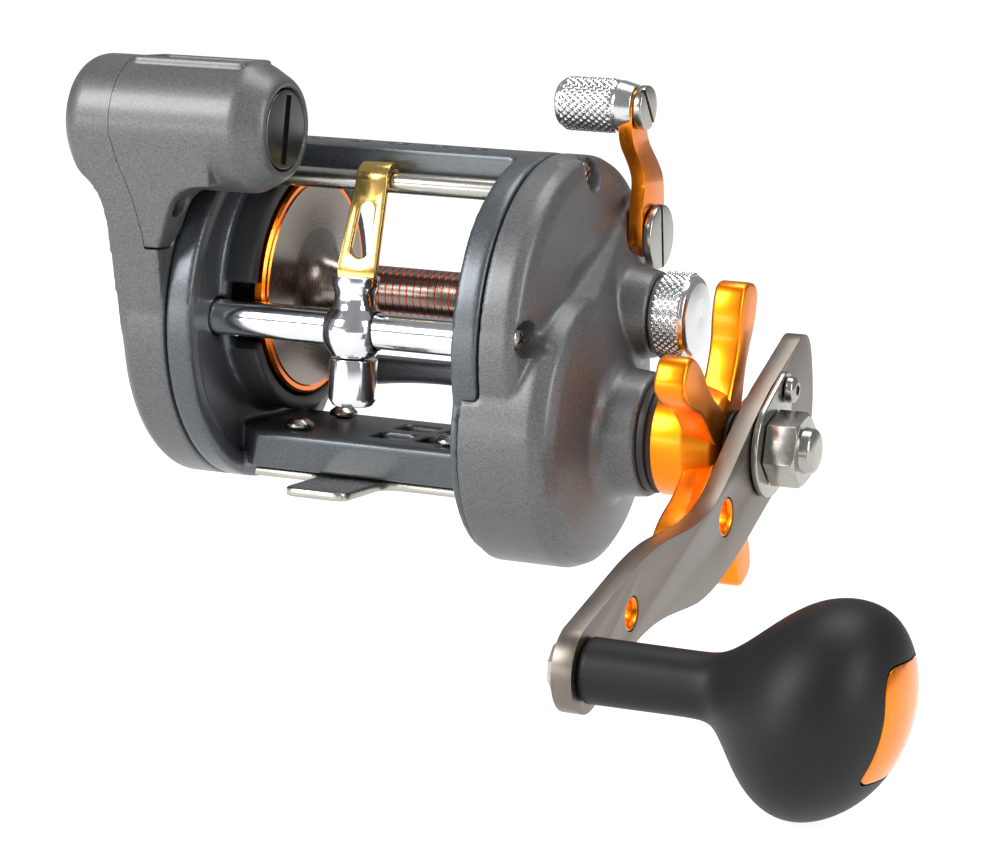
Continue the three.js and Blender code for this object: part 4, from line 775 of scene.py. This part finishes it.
def make_counter():
    left = COUNTER_SEAM - 2
    right = COUNTER_RIGHT
    barrel = lathe([(left, COUNTER_RADIUS - 2), (left, COUNTER_RADIUS), (right - 6.2, COUNTER_RADIUS),
                    (right - 5, COUNTER_RADIUS - 0.3), (right - 3.4, COUNTER_RADIUS - 1.2), (right - 1, 10.5),
                    (right, 9.6), (right, 8.3), (right - 2.7, 8.3), (right - 2.7, COUNTER_RADIUS - 2)], COUNTER,
                   144)
    zone = slab(seam(0.14) + [(0, COUNTER[1] - 29), (0, COUNTER[1] + 16)], -70, 30, "y")
    front = [(x, COUNTER[1] + z) for x,
             z in ((-48, -2), (-48, -24.8), (-34.8, -24.8), (-33.6, -22), (-32.4, -18),
                                              (-31, -15), (-29, -13), (-26, -11.9), (-22, -11.5), (-22, -2))]
    finger = shared(slab(front, COUNTER[0] - 14, COUNTER[0] - 1, "y"), arm_side())
    finger = cut(finger, rod(-70, 0, RING_RADIUS + GAP, RING, 128),
                 rod(-60, -10, COUNTER_RADIUS - 0.8, COUNTER, 96))
    half_x, half_y = WINDOW_HALF_X + 1.6, WINDOW_HALF_Y + 1.6
    bezel = cut(block(WINDOW_X - half_x, WINDOW_X + half_x, COUNTER[0] - half_y, COUNTER[0] + half_y,
                      COUNTER[1] + 6,
                      COUNTER[1] + COUNTER_RADIUS + 0.2, 0.7), rod(-60, 0, COUNTER_RADIUS - 2, COUNTER, 64))
    window = block(WINDOW_X - WINDOW_HALF_X, WINDOW_X + WINDOW_HALF_X, COUNTER[0] - WINDOW_HALF_Y,
                   COUNTER[0] + WINDOW_HALF_Y, COUNTER[1] + 2, COUNTER[1] + 30)
    housing = cut(joined(barrel, finger, bezel), window, rod(-42, -10, 1.3, COUNTER_SCREW, 20),
                  rod(-35.2, -10, 2.4, COUNTER_SCREW, 32))
    case = shared(cast(housing, 0.42, 5), zone)
    piece("counter_case", case, casing_paint, "body", ("counter_housing",))
    cap = lathe([(right - 2.4, 0), (right - 2.4, 8), (right - 0.1, 8), (right - 0.1, 0)], COUNTER, 96, 0.5)
    cap = cut(cap, cross_slot(right - 0.1, COUNTER, 6.9, 83, 0.9, 2.2))
    piece("counter_cap", cap, metal_cap, "body", ("counter_end_cap",))
    screw = lathe([(-41.5, 0), (-41.5, 1), (-34.9, 1), (-34.9, 2), (-33.9, 1.95), (-33.5, 1.3), (-33.5, 0)],
                  COUNTER_SCREW, 40, 0.2)
    screw = cut(screw, slab(hexagon(1.5, COUNTER_SCREW), -34.2, -32))
    piece("counter_fixing", screw, screw_steel, "body", ("counter_screw",))
    top = COUNTER[1] + COUNTER_RADIUS - 2.6
    lens = slab([(COUNTER[0] + y, top + z) for y, z in ((-4.3, 0), (4.3, 0), (4.3, 1.4), (2.4, 1.95), (0, 2.1),
                                                        (-2.4, 1.95), (-4.3, 1.4))],
                WINDOW_X - WINDOW_HALF_X + GAP, WINDOW_X + WINDOW_HALF_X - GAP)
    piece("window_lens", lens, clear_window, "body", ("counter_window",))
    button = lathe([(COUNTER_LEFT - 0.9, 0), (COUNTER_LEFT - 0.9, 2.4), (-53.2, 2.4), (-53.2, 0)], COUNTER, 48,
                   0.3)
    piece("reset_push", button, knurl_chrome, "button", ("reset_button",))


make_counter()


def make_wheels():
    """Three digit wheels; each carries the digits 0 to 9 round its rim."""
    digit_shapes = []
    for digit in range(10):
        curve = bpy.data.curves.new("digit", "FONT")
        curve.body = str(digit)
        curve.size = 6.4
        curve.align_x = "CENTER"
        curve.align_y = "CENTER"
        curve.extrude = 0.12
        writing = linked("digit", curve)
        mesh = bpy.data.meshes.new_from_object(writing.evaluated_get(bpy.context.evaluated_depsgraph_get()))
        digit_shapes.append(mesh)
        bpy.data.objects.remove(writing)
        bpy.data.curves.remove(curve)
    start = WINDOW_X - 1.5 * WHEEL_PITCH + (WHEEL_PITCH - WHEEL_WIDTH) / 2
    for number, name in enumerate(("hundreds", "tens", "units")):
        x = start + number * WHEEL_PITCH
        end = x + WHEEL_WIDTH
        wheel = lathe([(x, 1.7), (x, WHEEL_RADIUS), (end, WHEEL_RADIUS), (end, 1.7)], COUNTER, 80, 0.3)
        piece(f"{name}_dial", wheel, dial_white, name, (f"{name}_wheel",))
        digits = bmesh.new()
        for digit, shape in enumerate(digit_shapes):
            letter = bmesh.new()
            letter.from_mesh(shape)
            bmesh.ops.triangulate(letter, faces=letter.faces)
            bmesh.ops.subdivide_edges(letter, edges=[e for e in letter.edges if e.calc_length() > 1.2], cuts=1)
            for vert in letter.verts:
                away = WHEEL_RADIUS + 0.02 + vert.co.z
                angle = math.pi / 2 - digit * TURN / 10 - vert.co.y / WHEEL_RADIUS
                vert.co = Vector((x + WHEEL_WIDTH / 2 + vert.co.x, COUNTER[0] + away * math.cos(angle),
                                  COUNTER[1] + away * math.sin(angle)))
            temporary = bpy.data.meshes.new("letter")
            letter.to_mesh(temporary)
            letter.free()
            digits.from_mesh(temporary)
            bpy.data.meshes.remove(temporary)
        bmesh.ops.remove_doubles(digits, verts=digits.verts, dist=1e-4)
        piece(f"{name}_digits", outward(digits), dial_black, name)
    for mesh in digit_shapes:
        bpy.data.meshes.remove(mesh)


make_wheels()


# ---------------------------------------------------------------- handle side plate
PLATE_SCREWS = [polar(RING, radius, angle) for angle, radius in ((93, 32.5), (176, 31.7), (22, 30.3))]
SCREW_SEAT = PLATE_FACE - 3.4
PIVOT_BOSS = RING_OUTER + 11.6
INNER = RING_RADIUS - 2.3


def make_handle_plate():
    start = PLATE_FACE - 2.5
    body = lathe([(PLATE_X, 0), (PLATE_X, RING_RADIUS), (PLATE_FACE - 3, RING_RADIUS), (PLATE_FACE - 1, 35),
                  (PLATE_FACE, RING_RADIUS - 3.4), (PLATE_FACE + 1.6, 20), (PLATE_FACE + 1.6, 0)], RING, 192)
    case = lathe([(PLATE_X, 0), (PLATE_X, CASE_RADIUS), (CASE_FACE - 5, CASE_RADIUS), (CASE_FACE - 2, 27),
                  (CASE_FACE - 0.4, 24.6), (CASE_FACE + 0.4, 21.7), (CASE_FACE + 2.4, 14.5),
                  (CASE_FACE + 4.4, 12.9),
                  (CASE_FACE + 6.4, 12.7), (DRIVE_BOSS, 12.3), (DRIVE_BOSS, 0)], DRIVE, 192)
    apron = hull((DRIVE, CASE_RADIUS - 0.5, start), (DRIVE, CASE_RADIUS - 0.5, CASE_FACE - 5),
                 (DRIVE, 24.6, CASE_FACE - 0.4), (SPOOL, 13.5, start), (SPOOL, 12.5, RING_OUTER + 13.5),
                 (PIVOT, 8, start), (PIVOT, 7, PIVOT_BOSS - 0.2),
                 steps=144)
    apron = cut(apron, rod(PIVOT_BOSS - 0.2, 99, 9, PIVOT, 96))
    boss = lathe([(start, 0), (start, 13), (RING_OUTER + 13.5, 12.4), (RING_OUTER + 16, 10), (SPOOL_BOSS, 8.6),
                  (SPOOL_BOSS, 0)], SPOOL, 128)
    pivot_boss = rod(start, PIVOT_BOSS, 7, PIVOT, 96, 0.6)
    skirt = cut(rod(LOBE_STEP + GAP, PLATE_X + 1, CASE_RADIUS, DRIVE, 192),
                rod(0, 50, LOBE_RADIUS - 2 + GAP, DRIVE, 128),
                rod(0, PLATE_X, RING_RADIUS + GAP, RING, 160), rod(0, 50, INNER, RING, 128))
    hollow = lathe([(PLATE_X - 1, 0), (PLATE_X - 1, INNER), (PLATE_FACE - 4, INNER),
                    (PLATE_FACE - 2, INNER - 3),
                    (PLATE_FACE - 2, INNER - 6), (PLATE_FACE - 2, 0)], RING, 128)
    case_hollow = lathe([(PLATE_X - 1, 0), (PLATE_X - 1, CASE_RADIUS - 2), (CASE_FACE - 5, CASE_RADIUS - 2),
                         (CASE_FACE - 2.6, CASE_RADIUS - 5), (CASE_FACE - 1.8, CASE_RADIUS - 10),
                         (CASE_FACE - 1.8, 0)], DRIVE, 128)
    ridge_hollow = strap(DRIVE, CASE_RADIUS - 6, SPOOL, 11.5, PLATE_X - 1, RING_OUTER + 12, 72)
    bore = lathe([(PLATE_X, 0), (PLATE_X, 8.4), (51.7, 8.4), (51.7, 2.2), (SPOOL_BOSS + 1, 2.2),
                  (SPOOL_BOSS + 1, 0)], SPOOL, 64)
    body = joined(body, case, apron, boss, pivot_boss)
    body = cut(body, hollow, case_hollow, ridge_hollow, bore)
    body = cut(joined(body, skirt),
               rod(PLATE_X, DRIVE_BOSS + 1, 5.3, DRIVE), rod(PLATE_X, PIVOT_BOSS + 1, 3.3, PIVOT))
    for axis in PLATE_SCREWS:
        pillar = joined(rod(PLATE_X, PLATE_FACE - 1, 2.4, axis, 32),
                        rod(SCREW_SEAT - 1.6, PLATE_FACE - 1, 4.9, axis, 48))
        body = cut(joined(body, shared(pillar, rod(0, 99, 35.5, RING, 96))),
                   rod(SCREW_SEAT, PLATE_FACE + 6, 3.6, axis, 48), rod(PLATE_X - 1, PLATE_FACE, 1.5, axis, 24))
    piece("gear_casing", cast(body, 0.5, 4), casing_paint, "body", ("handle_side_plate",))
    for number, axis in enumerate(PLATE_SCREWS, 1):
        seat = SCREW_SEAT + GAP
        head = lathe([(PLATE_X + 0.5, 0), (PLATE_X + 0.5, 1.2), (seat, 1.2), (seat, 2.3), (seat + 1.1, 2.25),
                      (seat + 1.7, 1.4), (seat + 1.7, 0)], axis, 48, 0.2)
        head = cut(head, cross_slot(seat + 1.7, axis, 1.5, 30, 0.9, 0.5),
                   cross_slot(seat + 1.7, axis, 1.5, 120, 0.9, 0.5))
        piece(f"plate_fixing_{number}", head, screw_steel, "body", (f"plate_screw_{number}",))
    seal = lathe([(DRIVE_BOSS + 0.1, 5.2), (DRIVE_BOSS + 0.1, 11.4), (STAR_X - 1.3, 11.4), (STAR_X - 1.3, 10.4),
                  (STAR_X - 0.3, 10.4), (STAR_X - 0.3, 5.2)], DRIVE, 96, 0.25)
    piece("drive_seal", seal, seal_black, "body")


make_handle_plate()


def knurled(axis, x0, x1, radius, around, rows, depth, steps_each=6):
    """A sleeve whose outside is cut into diamonds: a fine grid with each point raised by where it stands."""
    along = rows * steps_each
    bm = bmesh.new()
    line = [bm.verts.new((x0 + (x1 - x0) * i / along, radius, 0)) for i in range(along + 1)]
    for pair in zip(line, line[1:]):
        bm.edges.new(pair)
    steps = around * steps_each
    bmesh.ops.spin(bm, geom=bm.verts[:] + bm.edges[:], cent=(0, 0, 0), axis=(1, 0, 0), angle=TURN, steps=steps,
                   use_merge=True)
    bmesh.ops.remove_doubles(bm, verts=bm.verts, dist=1e-4)

    def saw(value):
        return 1 - abs(2 * (value % 1) - 1)
    for vert in bm.verts:
        turn = math.atan2(vert.co.z, vert.co.y) / TURN * around
        step = (vert.co.x - x0) / (x1 - x0) * rows
        edge = min(1, 6 * min(vert.co.x - x0, x1 - vert.co.x) / (x1 - x0) * 2)
        rise = min(1, 1.5 * min(saw(turn + step), saw(turn - step))) * edge
        away = radius - depth + depth * rise
        vert.co.y, vert.co.z = away * vert.co.y / radius, away * vert.co.z / radius
    for x in (x0, x1):
        rim = [edge for edge in bm.edges if edge.is_boundary and all(abs(v.co.x - x) < 1e-3 for v in edge.verts)]
        inner = bmesh.ops.extrude_edge_only(bm, edges=rim)["geom"]
        bmesh.ops.scale(bm, vec=(1, 0.82, 0.82), verts=verts_in(inner))
        rim = [item for item in inner if isinstance(item, bmesh.types.BMEdge)]
        bmesh.ops.contextual_create(bm, geom=rim)
    return outward(moved(bm, 0, *axis))


def make_cast_knob():
    start = SPOOL_BOSS + GAP
    face = start + 7.5
    core = lathe([(start, 2.2), (start, 8.1), (start + 0.7, 8.5), (face - 0.9, 8.5), (face - 0.1, 8.1),
                  (face + 0.3, 7.2), (face + 0.7, 4), (face + 0.8, 0), (face - 2.4, 0), (face - 2.4, 2.2)],
                 SPOOL, 96, 0.2)
    piece("cast_knob_core", core, knurl_chrome, "cast_knob", ("cast_control_knob",))
    grip = knurled(SPOOL, start + 0.7, face - 0.8, 9, 38, 4, 0.45)
    piece("cast_knob_grip", grip, knurl_chrome, "cast_knob", crease=50)


make_cast_knob()

# ---------------------------------------------------------------- star drag
STAR_ARM, STAR_END, STAR_RADIUS = STAR_X + 6.6, STAR_X + 13, 31.6


def make_star():
    hub = lathe([(STAR_X, 3.3), (STAR_X, 11.5), (STAR_ARM, 11.5), (STAR_END - 1, 9.9), (STAR_END, 8.5),
                 (STAR_END, 3.3)], DRIVE, 128, 0.4)
    r = STAR_RADIUS
    outline = flowing((4, -3.4), (12, -3), ((17, -2.6), (r - 10, -4)), ((r - 5, -5.2), (r - 1.4, -4)),
                      ((r + 0.8, -2.6), (r + 0.2, 0)), ((r + 0.2, 2.8), (r - 1.8, 4)),
                      ((r - 6, 5), (r - 11, 3.2)),
                      ((17, 2.4), (12, 3.6)), (4, 5))
    arms = []
    for number in range(5):
        arms.append(turned_about(slab(outline, STAR_ARM, STAR_END, soft=0.8), DRIVE, 76 + 72 * number))
    star = cut(joined(hub, *arms), rod(STAR_X - 1, STAR_END + 1, 3.3, DRIVE))
    piece("star_wheel", star, orange_star, "star", ("star_drag",))
    for number, x in enumerate((STAR_END + 0.3, STAR_END + 1.4, STAR_END + 2.4)):
        washer = lathe([(x, 3.3), (x, 6.5), (x + 0.7, 6.5), (x + 0.7, 3.3)], DRIVE, 72, 0.2)
        stands_for = ("spring_washers",) if number == 0 else ()
        piece(f"spring_washer_{number + 1}", washer, seal_black, "crank", stands_for)


make_star()


# ---------------------------------------------------------------- crank
def arm_spot(u, v):
    """A place on the crank from how far it is along the arm and across it."""
    angle = math.radians(CRANK_ANGLE)
    return shift(DRIVE, u * math.cos(angle) - v * math.sin(angle), u * math.sin(angle) + v * math.cos(angle))


LOCK_SCREW = arm_spot(-9, -8.4)


def make_crank():
    end = CRANK_LENGTH - 0.8
    turn = arc((end, 0.3), 8, 100, -85, 26)
    outline = flowing((-20, -13), ((-27.6, -15), (-28.3, -8)), ((-28.8, 1), (-26.2, 6)),
                      ((-22, 10), (-4, 11.2)),
                      ((12, 13.2), (26, 17), (40, 13.8)), ((50, 11), (57, 7), (69, 6.3)),
                      ((81, 6.2), (end - 2, 8)), *turn, (70, -7.6), ((64, -7.6), (59, -6.8)),
                      ((49, -5.4), (42, -1.2), (31, -1)), ((22, -1), (14, -6.6), (-4, -10.6)), count=14)
    arm = slab([arm_spot(u, v) for u, v in outline], CRANK_X, CRANK_FACE)
    holes = [(arm_spot(23, 4.2), 3.9), (arm_spot(CRANK_LENGTH - 21, 0), 3.3)]
    arm = cut(arm, rod(CRANK_X - 1, CRANK_FACE + 1, 3.3, DRIVE),
              rod(CRANK_X - 1, CRANK_FACE + 1, 1.5, LOCK_SCREW, 32),
              rod(CRANK_X - 1, CRANK_FACE + 1, 2.9, KNOB),
              *[rod(CRANK_X - 1, CRANK_FACE + 1, radius, spot, 64) for spot, radius in holes])
    piece("crank", bevelled(arm, 0.45, 40), crank_steel, "crank", ("crank_arm",))
    for number, (spot, radius) in enumerate(holes, 1):
        ring = lathe([(CRANK_X + 0.1, radius - 1), (CRANK_X + 0.1, radius - 0.1),
                      (CRANK_FACE - 0.3, radius - 0.1),
                      (CRANK_FACE - 0.1, radius - 0.5), (CRANK_FACE - 0.9, radius - 1)], spot, 72, 0.12)
        piece(f"crank_hole_lining_{number}", ring, orange_star, "crank",
              (f"arm_ring_{number}",))


make_crank()


def make_nut():
    plate_start = CRANK_FACE + GAP
    plate = strap(LOCK_SCREW, 3.5, DRIVE, 9.8, plate_start, plate_start + 1.3, 96, 0.3)
    plate = cut(plate, rod(80, 99, 3.3, DRIVE), rod(80, 99, 1.5, LOCK_SCREW, 32))
    piece("lock_plate", plate, screw_steel, "crank", ("nut_lock_plate",))
    head = plate_start + 1.6
    screw = lathe([(CRANK_X + 0.4, 0), (CRANK_X + 0.4, 1.2), (head, 1.2), (head, 2.7), (head + 1.3, 2.55),
                   (head + 1.9, 1.6), (head + 1.9, 0)], LOCK_SCREW, 56, 0.25)
    screw = cut(screw, slab(hexagon(2, LOCK_SCREW, 15), head + 0.9, head + 4))
    piece("lock_screw", screw, screw_steel, "crank", ("nut_lock_screw",))
    face = head + 6.2
    nut = shared(slab(hexagon(13, DRIVE, CRANK_ANGLE), head, face),
                 lathe([(head, 0), (head, 7.6), (face - 0.6, 7.6), (face, 6.7), (face, 0)], DRIVE, 96))
    dome = lathe([(face - 1, 0), (face - 1, 4.5), (face + 1.7, 4.4), (face + 2.3, 3.7), (face + 2.6, 2.4),
                  (face + 2.6, 0)], DRIVE, 80, 0.25)
    nut = cut(joined(nut, dome), rod(head - 1, face - 1.1, 3.3, DRIVE))
    piece("handle_nut", bevelled(nut, 0.16, 35, 2), screw_steel, "crank", ("crank_nut",))


make_nut()


# ---------------------------------------------------------------- handle knob
KNOB_START = CRANK_FACE + GAP
BULB_START = KNOB_START + 21.8
BULB_LENGTH, BULB_RADIUS = 36, 19.2
KNOB_END = BULB_START + BULB_LENGTH
# Along the bulb, radius, and how far the section's centre stands above the spindle, as shares and in mm.
BULB = ((-0.06, 0.302, 0), (0.02, 0.31, -0.1), (0.08, 0.35, -0.5), (0.16, 0.5, -1.8), (0.27, 0.74, -3.3),
        (0.4, 0.92, -3), (0.53, 1, -1.9), (0.66, 0.985, -0.7), (0.78, 0.9, 0.5), (0.88, 0.75, 1.5),
        (0.95, 0.53, 2.1), (0.985, 0.33, 2.4), (1, 0.13, 2.5))


def knob_shape(back=0.0):
    stations = [(BULB_START + BULB_LENGTH * along, BULB_RADIUS * share) for along, share, _ in BULB]
    bm = lathe([(KNOB_START, 2.9), (KNOB_START, 5.5), (KNOB_START + 0.6, 5.9), (KNOB_START + 4, 5.9),
                (KNOB_START + 12, 5.85)] + stations
               + [(KNOB_END, 0), (BULB_START + 12.3, 0), (BULB_START + 12.3, 2.9)], KNOB, 28)
    places = [(BULB_START + BULB_LENGTH * along, rise) for along, _, rise in BULB]
    for vert in bm.verts:
        if reach(vert.co, KNOB) < 3 and vert.co.x < KNOB_END - 1:
            continue
        for (x0, rise0), (x1, rise1) in zip(places, places[1:]):
            if x0 < vert.co.x <= x1 + 1e-4:
                vert.co.z += rise0 + (rise1 - rise0) * (vert.co.x - x0) / (x1 - x0)
                break
    crease = bm.edges.layers.float.new("crease_edge")
    for edge in bm.edges:
        in_bore = all(reach(vert.co, KNOB) < 3.1 for vert in edge.verts)
        if in_bore or all(vert.co.x < KNOB_START + 0.7 for vert in edge.verts):
            edge[crease] = 0.8
    return moved(drafted(bm, ("SUBSURF", {"levels": 2, "render_levels": 2})), -back, 0, 0)


def make_knob():
    y, z = shift(KNOB, 0, -1.7)

    def rounded(grow):
        half, low, high = 9 + grow, -9.5 - grow, 10.5 + grow
        return flowing((y - half + 2.5, z + low), (y + half - 2.5, z + low),
                       ((y + half, z + low), (y + half, z + low + 2.5)),
                       (y + half, z + high - 5), ((y + half - 0.3, z + high), (y + half - 4.6, z + high)),
                       (y - half + 4.6, z + high), ((y - half + 0.3, z + high), (y - half, z + high - 5)),
                       (y - half, z + low + 2.5), ((y - half, z + low), (y - half + 2.5, z + low)), count=7)
    zone_start = BULB_START + BULB_LENGTH * 0.7
    pocket = cut(slab(rounded(0.3), zone_start, KNOB_END + 5), knob_shape(1.4))
    grip = cut(knob_shape(), pocket)
    piece("handle_grip", grip, soft_black, "handle_knob", ("knob",))
    inset = cut(shared(knob_shape(), slab(rounded(0), zone_start, KNOB_END + 5)), knob_shape(1.1))
    piece("handle_grip_inset", bevelled(inset, 0.25, 50, 2), orange_blade, "handle_knob",
          ("knob_inset",))


make_knob()

# ---------------------------------------------------------------- clutch lever
LEVER_IN, LEVER_OUT = PIVOT_BOSS + GAP, PIVOT_BOSS + GAP + 3
JOGGLE = 1.5


def make_lever():
    tip = (-7, 26.4)
    outline = flowing((-5, -4.5), ((-7, 3), (-5.6, 10)), ((-5.4, 14), (-8.5, 18)),
                      ((-11, 22), (tip[0] - 3.6, tip[1] - 1)),
                      *arc(tip, 3.8, 195, -15, 16), ((tip[0] + 4.4, 21), (1, 17.5)), ((5.4, 13), (5.6, 4)),
                      ((6.4, -1), (4.6, -4)), ((0, -7.5), (-5, -4.5)), count=10)
    blade = slab([shift(PIVOT, y, z) for y, z in outline], LEVER_IN, LEVER_OUT)
    for height in (11, 14, 17, 19.5):
        bmesh.ops.bisect_plane(blade, geom=blade.verts[:] + blade.edges[:] + blade.faces[:], dist=1e-5,
                               plane_co=(0, 0, PIVOT[1] + height), plane_no=(0, 0, 1))
    for vert in blade.verts:
        share = min(1, max(0, (vert.co.z - PIVOT[1] - 11) / 8.5))
        vert.co.x -= JOGGLE * share * share * (3 - 2 * share)
    spread = math.atan2(SPOOL[1] - PIVOT[1], SPOOL[0] - PIVOT[0])
    away = math.hypot(SPOOL[0] - PIVOT[0], SPOOL[1] - PIVOT[1])
    for degrees in range(0, 51, 5):
        boss = polar(PIVOT, away, math.degrees(spread) + degrees)
        blade = cut(blade, rod(LEVER_IN - 1, LEVER_OUT + 1, 13.8, boss, 120))
    blade = cut(blade, rod(LEVER_OUT - 3, LEVER_OUT + 2, 1.9, PIVOT),
                rod(LEVER_IN - 3, LEVER_OUT + 1, 1.8, GRIP))
    piece("lever_blade", bevelled(blade, 0.45, 42), orange_blade, "lever", ("clutch_lever",))
    hub = joined(rod(PLATE_FACE - 4.1, LEVER_IN - 0.02, 3, PIVOT, 48),
                 strap(PIVOT, 3, shift(PIVOT, -3.2, -2.6), 1.8, PLATE_FACE - 4.6, PLATE_FACE - 2.8, 40))
    piece("lever_hub", hub, orange_blade, "lever")
    head = LEVER_OUT + GAP
    screw = lathe([(LEVER_OUT - 2.4, 0), (LEVER_OUT - 2.4, 1.6), (head, 1.6), (head, 6.6), (head + 1.8, 6.6),
                   (head + 1.8, 0)], PIVOT, 96, 0.45)
    screw = cut(screw, cross_slot(head + 1.8, PIVOT, 9, 100, 0.8, 1.1))
    piece("lever_pivot_head", screw, screw_steel, "lever", ("lever_pivot_screw",))
    right = LEVER_IN - JOGGLE - GAP
    left = right - 13.6
    neck = lathe([(left, 0), (left, 4.2), (left + 0.5, 4.7), (left + 1.1, 4.7), (left + 1.1, 4.3),
                  (right - 0.8, 4.3), (right - 0.8, 5.2), (right - 0.2, 5.3), (right + 3, 4.5),
                  (right + 3, 1.8),
                  (right - 9, 1.8), (right - 9, 0)], GRIP, 96, 0.18)
    piece("lever_grip_core", neck, knurl_chrome, "lever", ("lever_grip",))
    grip = knurled(GRIP, left + 1.1, right - 0.8, 5.5, 24, 7, 0.42)
    piece("lever_grip_knurl", grip, knurl_chrome, "lever", crease=50)
    seat = LEVER_OUT - JOGGLE + GAP
    screw = lathe([(right - 8.5, 0), (right - 8.5, 1.5), (seat, 1.5), (seat, 4.5), (seat + 1.9, 4.5),
                   (seat + 1.9, 0)],
                  GRIP, 80, 0.45)
    screw = cut(screw, cross_slot(seat + 1.9, GRIP, 9, 130, 0.8, 1))
    piece("lever_grip_head", screw, screw_steel, "lever", ("lever_grip_screw",))


make_lever()

# ---------------------------------------------------------------- parts that keep their CAD shape
carry(gear_brass, "main_gear", "pinion", "pawl")
carry(stainless, "spool_shaft", "left_bearing", "right_bearing", "clutch_yoke", "worm_drive_gear", "worm_gear",
      "drag_sleeve", "drive_shaft", "counter_axle", "counter_drive_shaft", "knob_spindle")
carry(seal_black, "drag_washer")
carry(dial_white, "counter_gear")


# ---------------------------------------------------------------- studio and camera
def make_floor():
    bm = bmesh.new()
    bmesh.ops.create_grid(bm, x_segments=1, y_segments=1, size=14)
    moved(bm, 0, 0, cad_box[0][2] - 0.0005)
    mesh = bpy.data.meshes.new("floor")
    bm.to_mesh(mesh)
    bm.free()
    floor = linked("floor", mesh)
    finish = Finish("floor_pale")
    mesh.materials.append(finish.done((0.3, 0.3, 0.3, 1), 0.0, 0.9, Emission_Color=(1, 1, 1, 1),
                                      Emission_Strength=0.9))


def softbox(name, place, target, size, power):
    light = bpy.data.lights.new(name, "AREA")
    light.shape = "RECTANGLE"
    light.size, light.size_y = size
    light.energy = power
    lamp = linked(name, light)
    lamp.location = place
    lamp.rotation_euler = (Vector(target) - Vector(place)).to_track_quat("-Z", "Y").to_euler()


def make_studio():
    middle = (0.02, -0.03, 0.04)
    softbox("front_left_softbox", (-0.75, -1.0, 0.75), middle, (0.6, 0.6), 17)
    softbox("top_softbox", (0.1, 0.25, 1.2), middle, (0.9, 0.5), 8)
    softbox("right_softbox", (1.15, -0.45, 0.55), middle, (0.35, 0.9), 9)
    softbox("low_strip", (-0.5, -0.9, 0.02), middle, (0.9, 0.16), 3)
    world = bpy.data.worlds.new("studio")
    world.use_nodes = True
    world.node_tree.nodes["Background"].inputs[0].default_value = (0.82, 0.83, 0.85, 1)
    world.node_tree.nodes["Background"].inputs[1].default_value = 0.4
    bpy.context.scene.world = world
    bpy.context.scene.view_settings.view_transform = "Standard"


def make_camera():
    azimuth, elevation, roll = (math.radians(angle) for angle in (23.74, 8.88, 2.22))
    back = Vector((math.sin(azimuth) * math.cos(elevation), -math.cos(azimuth) * math.cos(elevation),
                   math.sin(elevation)))
    right = (-back).cross(Vector((0, 0, 1))).normalized()
    up = right.cross(-back)
    tilted_right = right * math.cos(roll) + up * math.sin(roll)
    tilted_up = up * math.cos(roll) - right * math.sin(roll)
    turned = Matrix((tilted_right, tilted_up, back)).transposed().to_4x4()
    lens = bpy.data.cameras.new("camera")
    lens.lens = 121.58
    lens.sensor_width = 36
    camera = linked("camera", lens)
    camera.matrix_world = Matrix.Translation((0.29855, -0.625, 0.1188)) @ turned
    bpy.context.scene.camera = camera


make_floor()
make_studio()
make_camera()

bpy.context.view_layer.update()
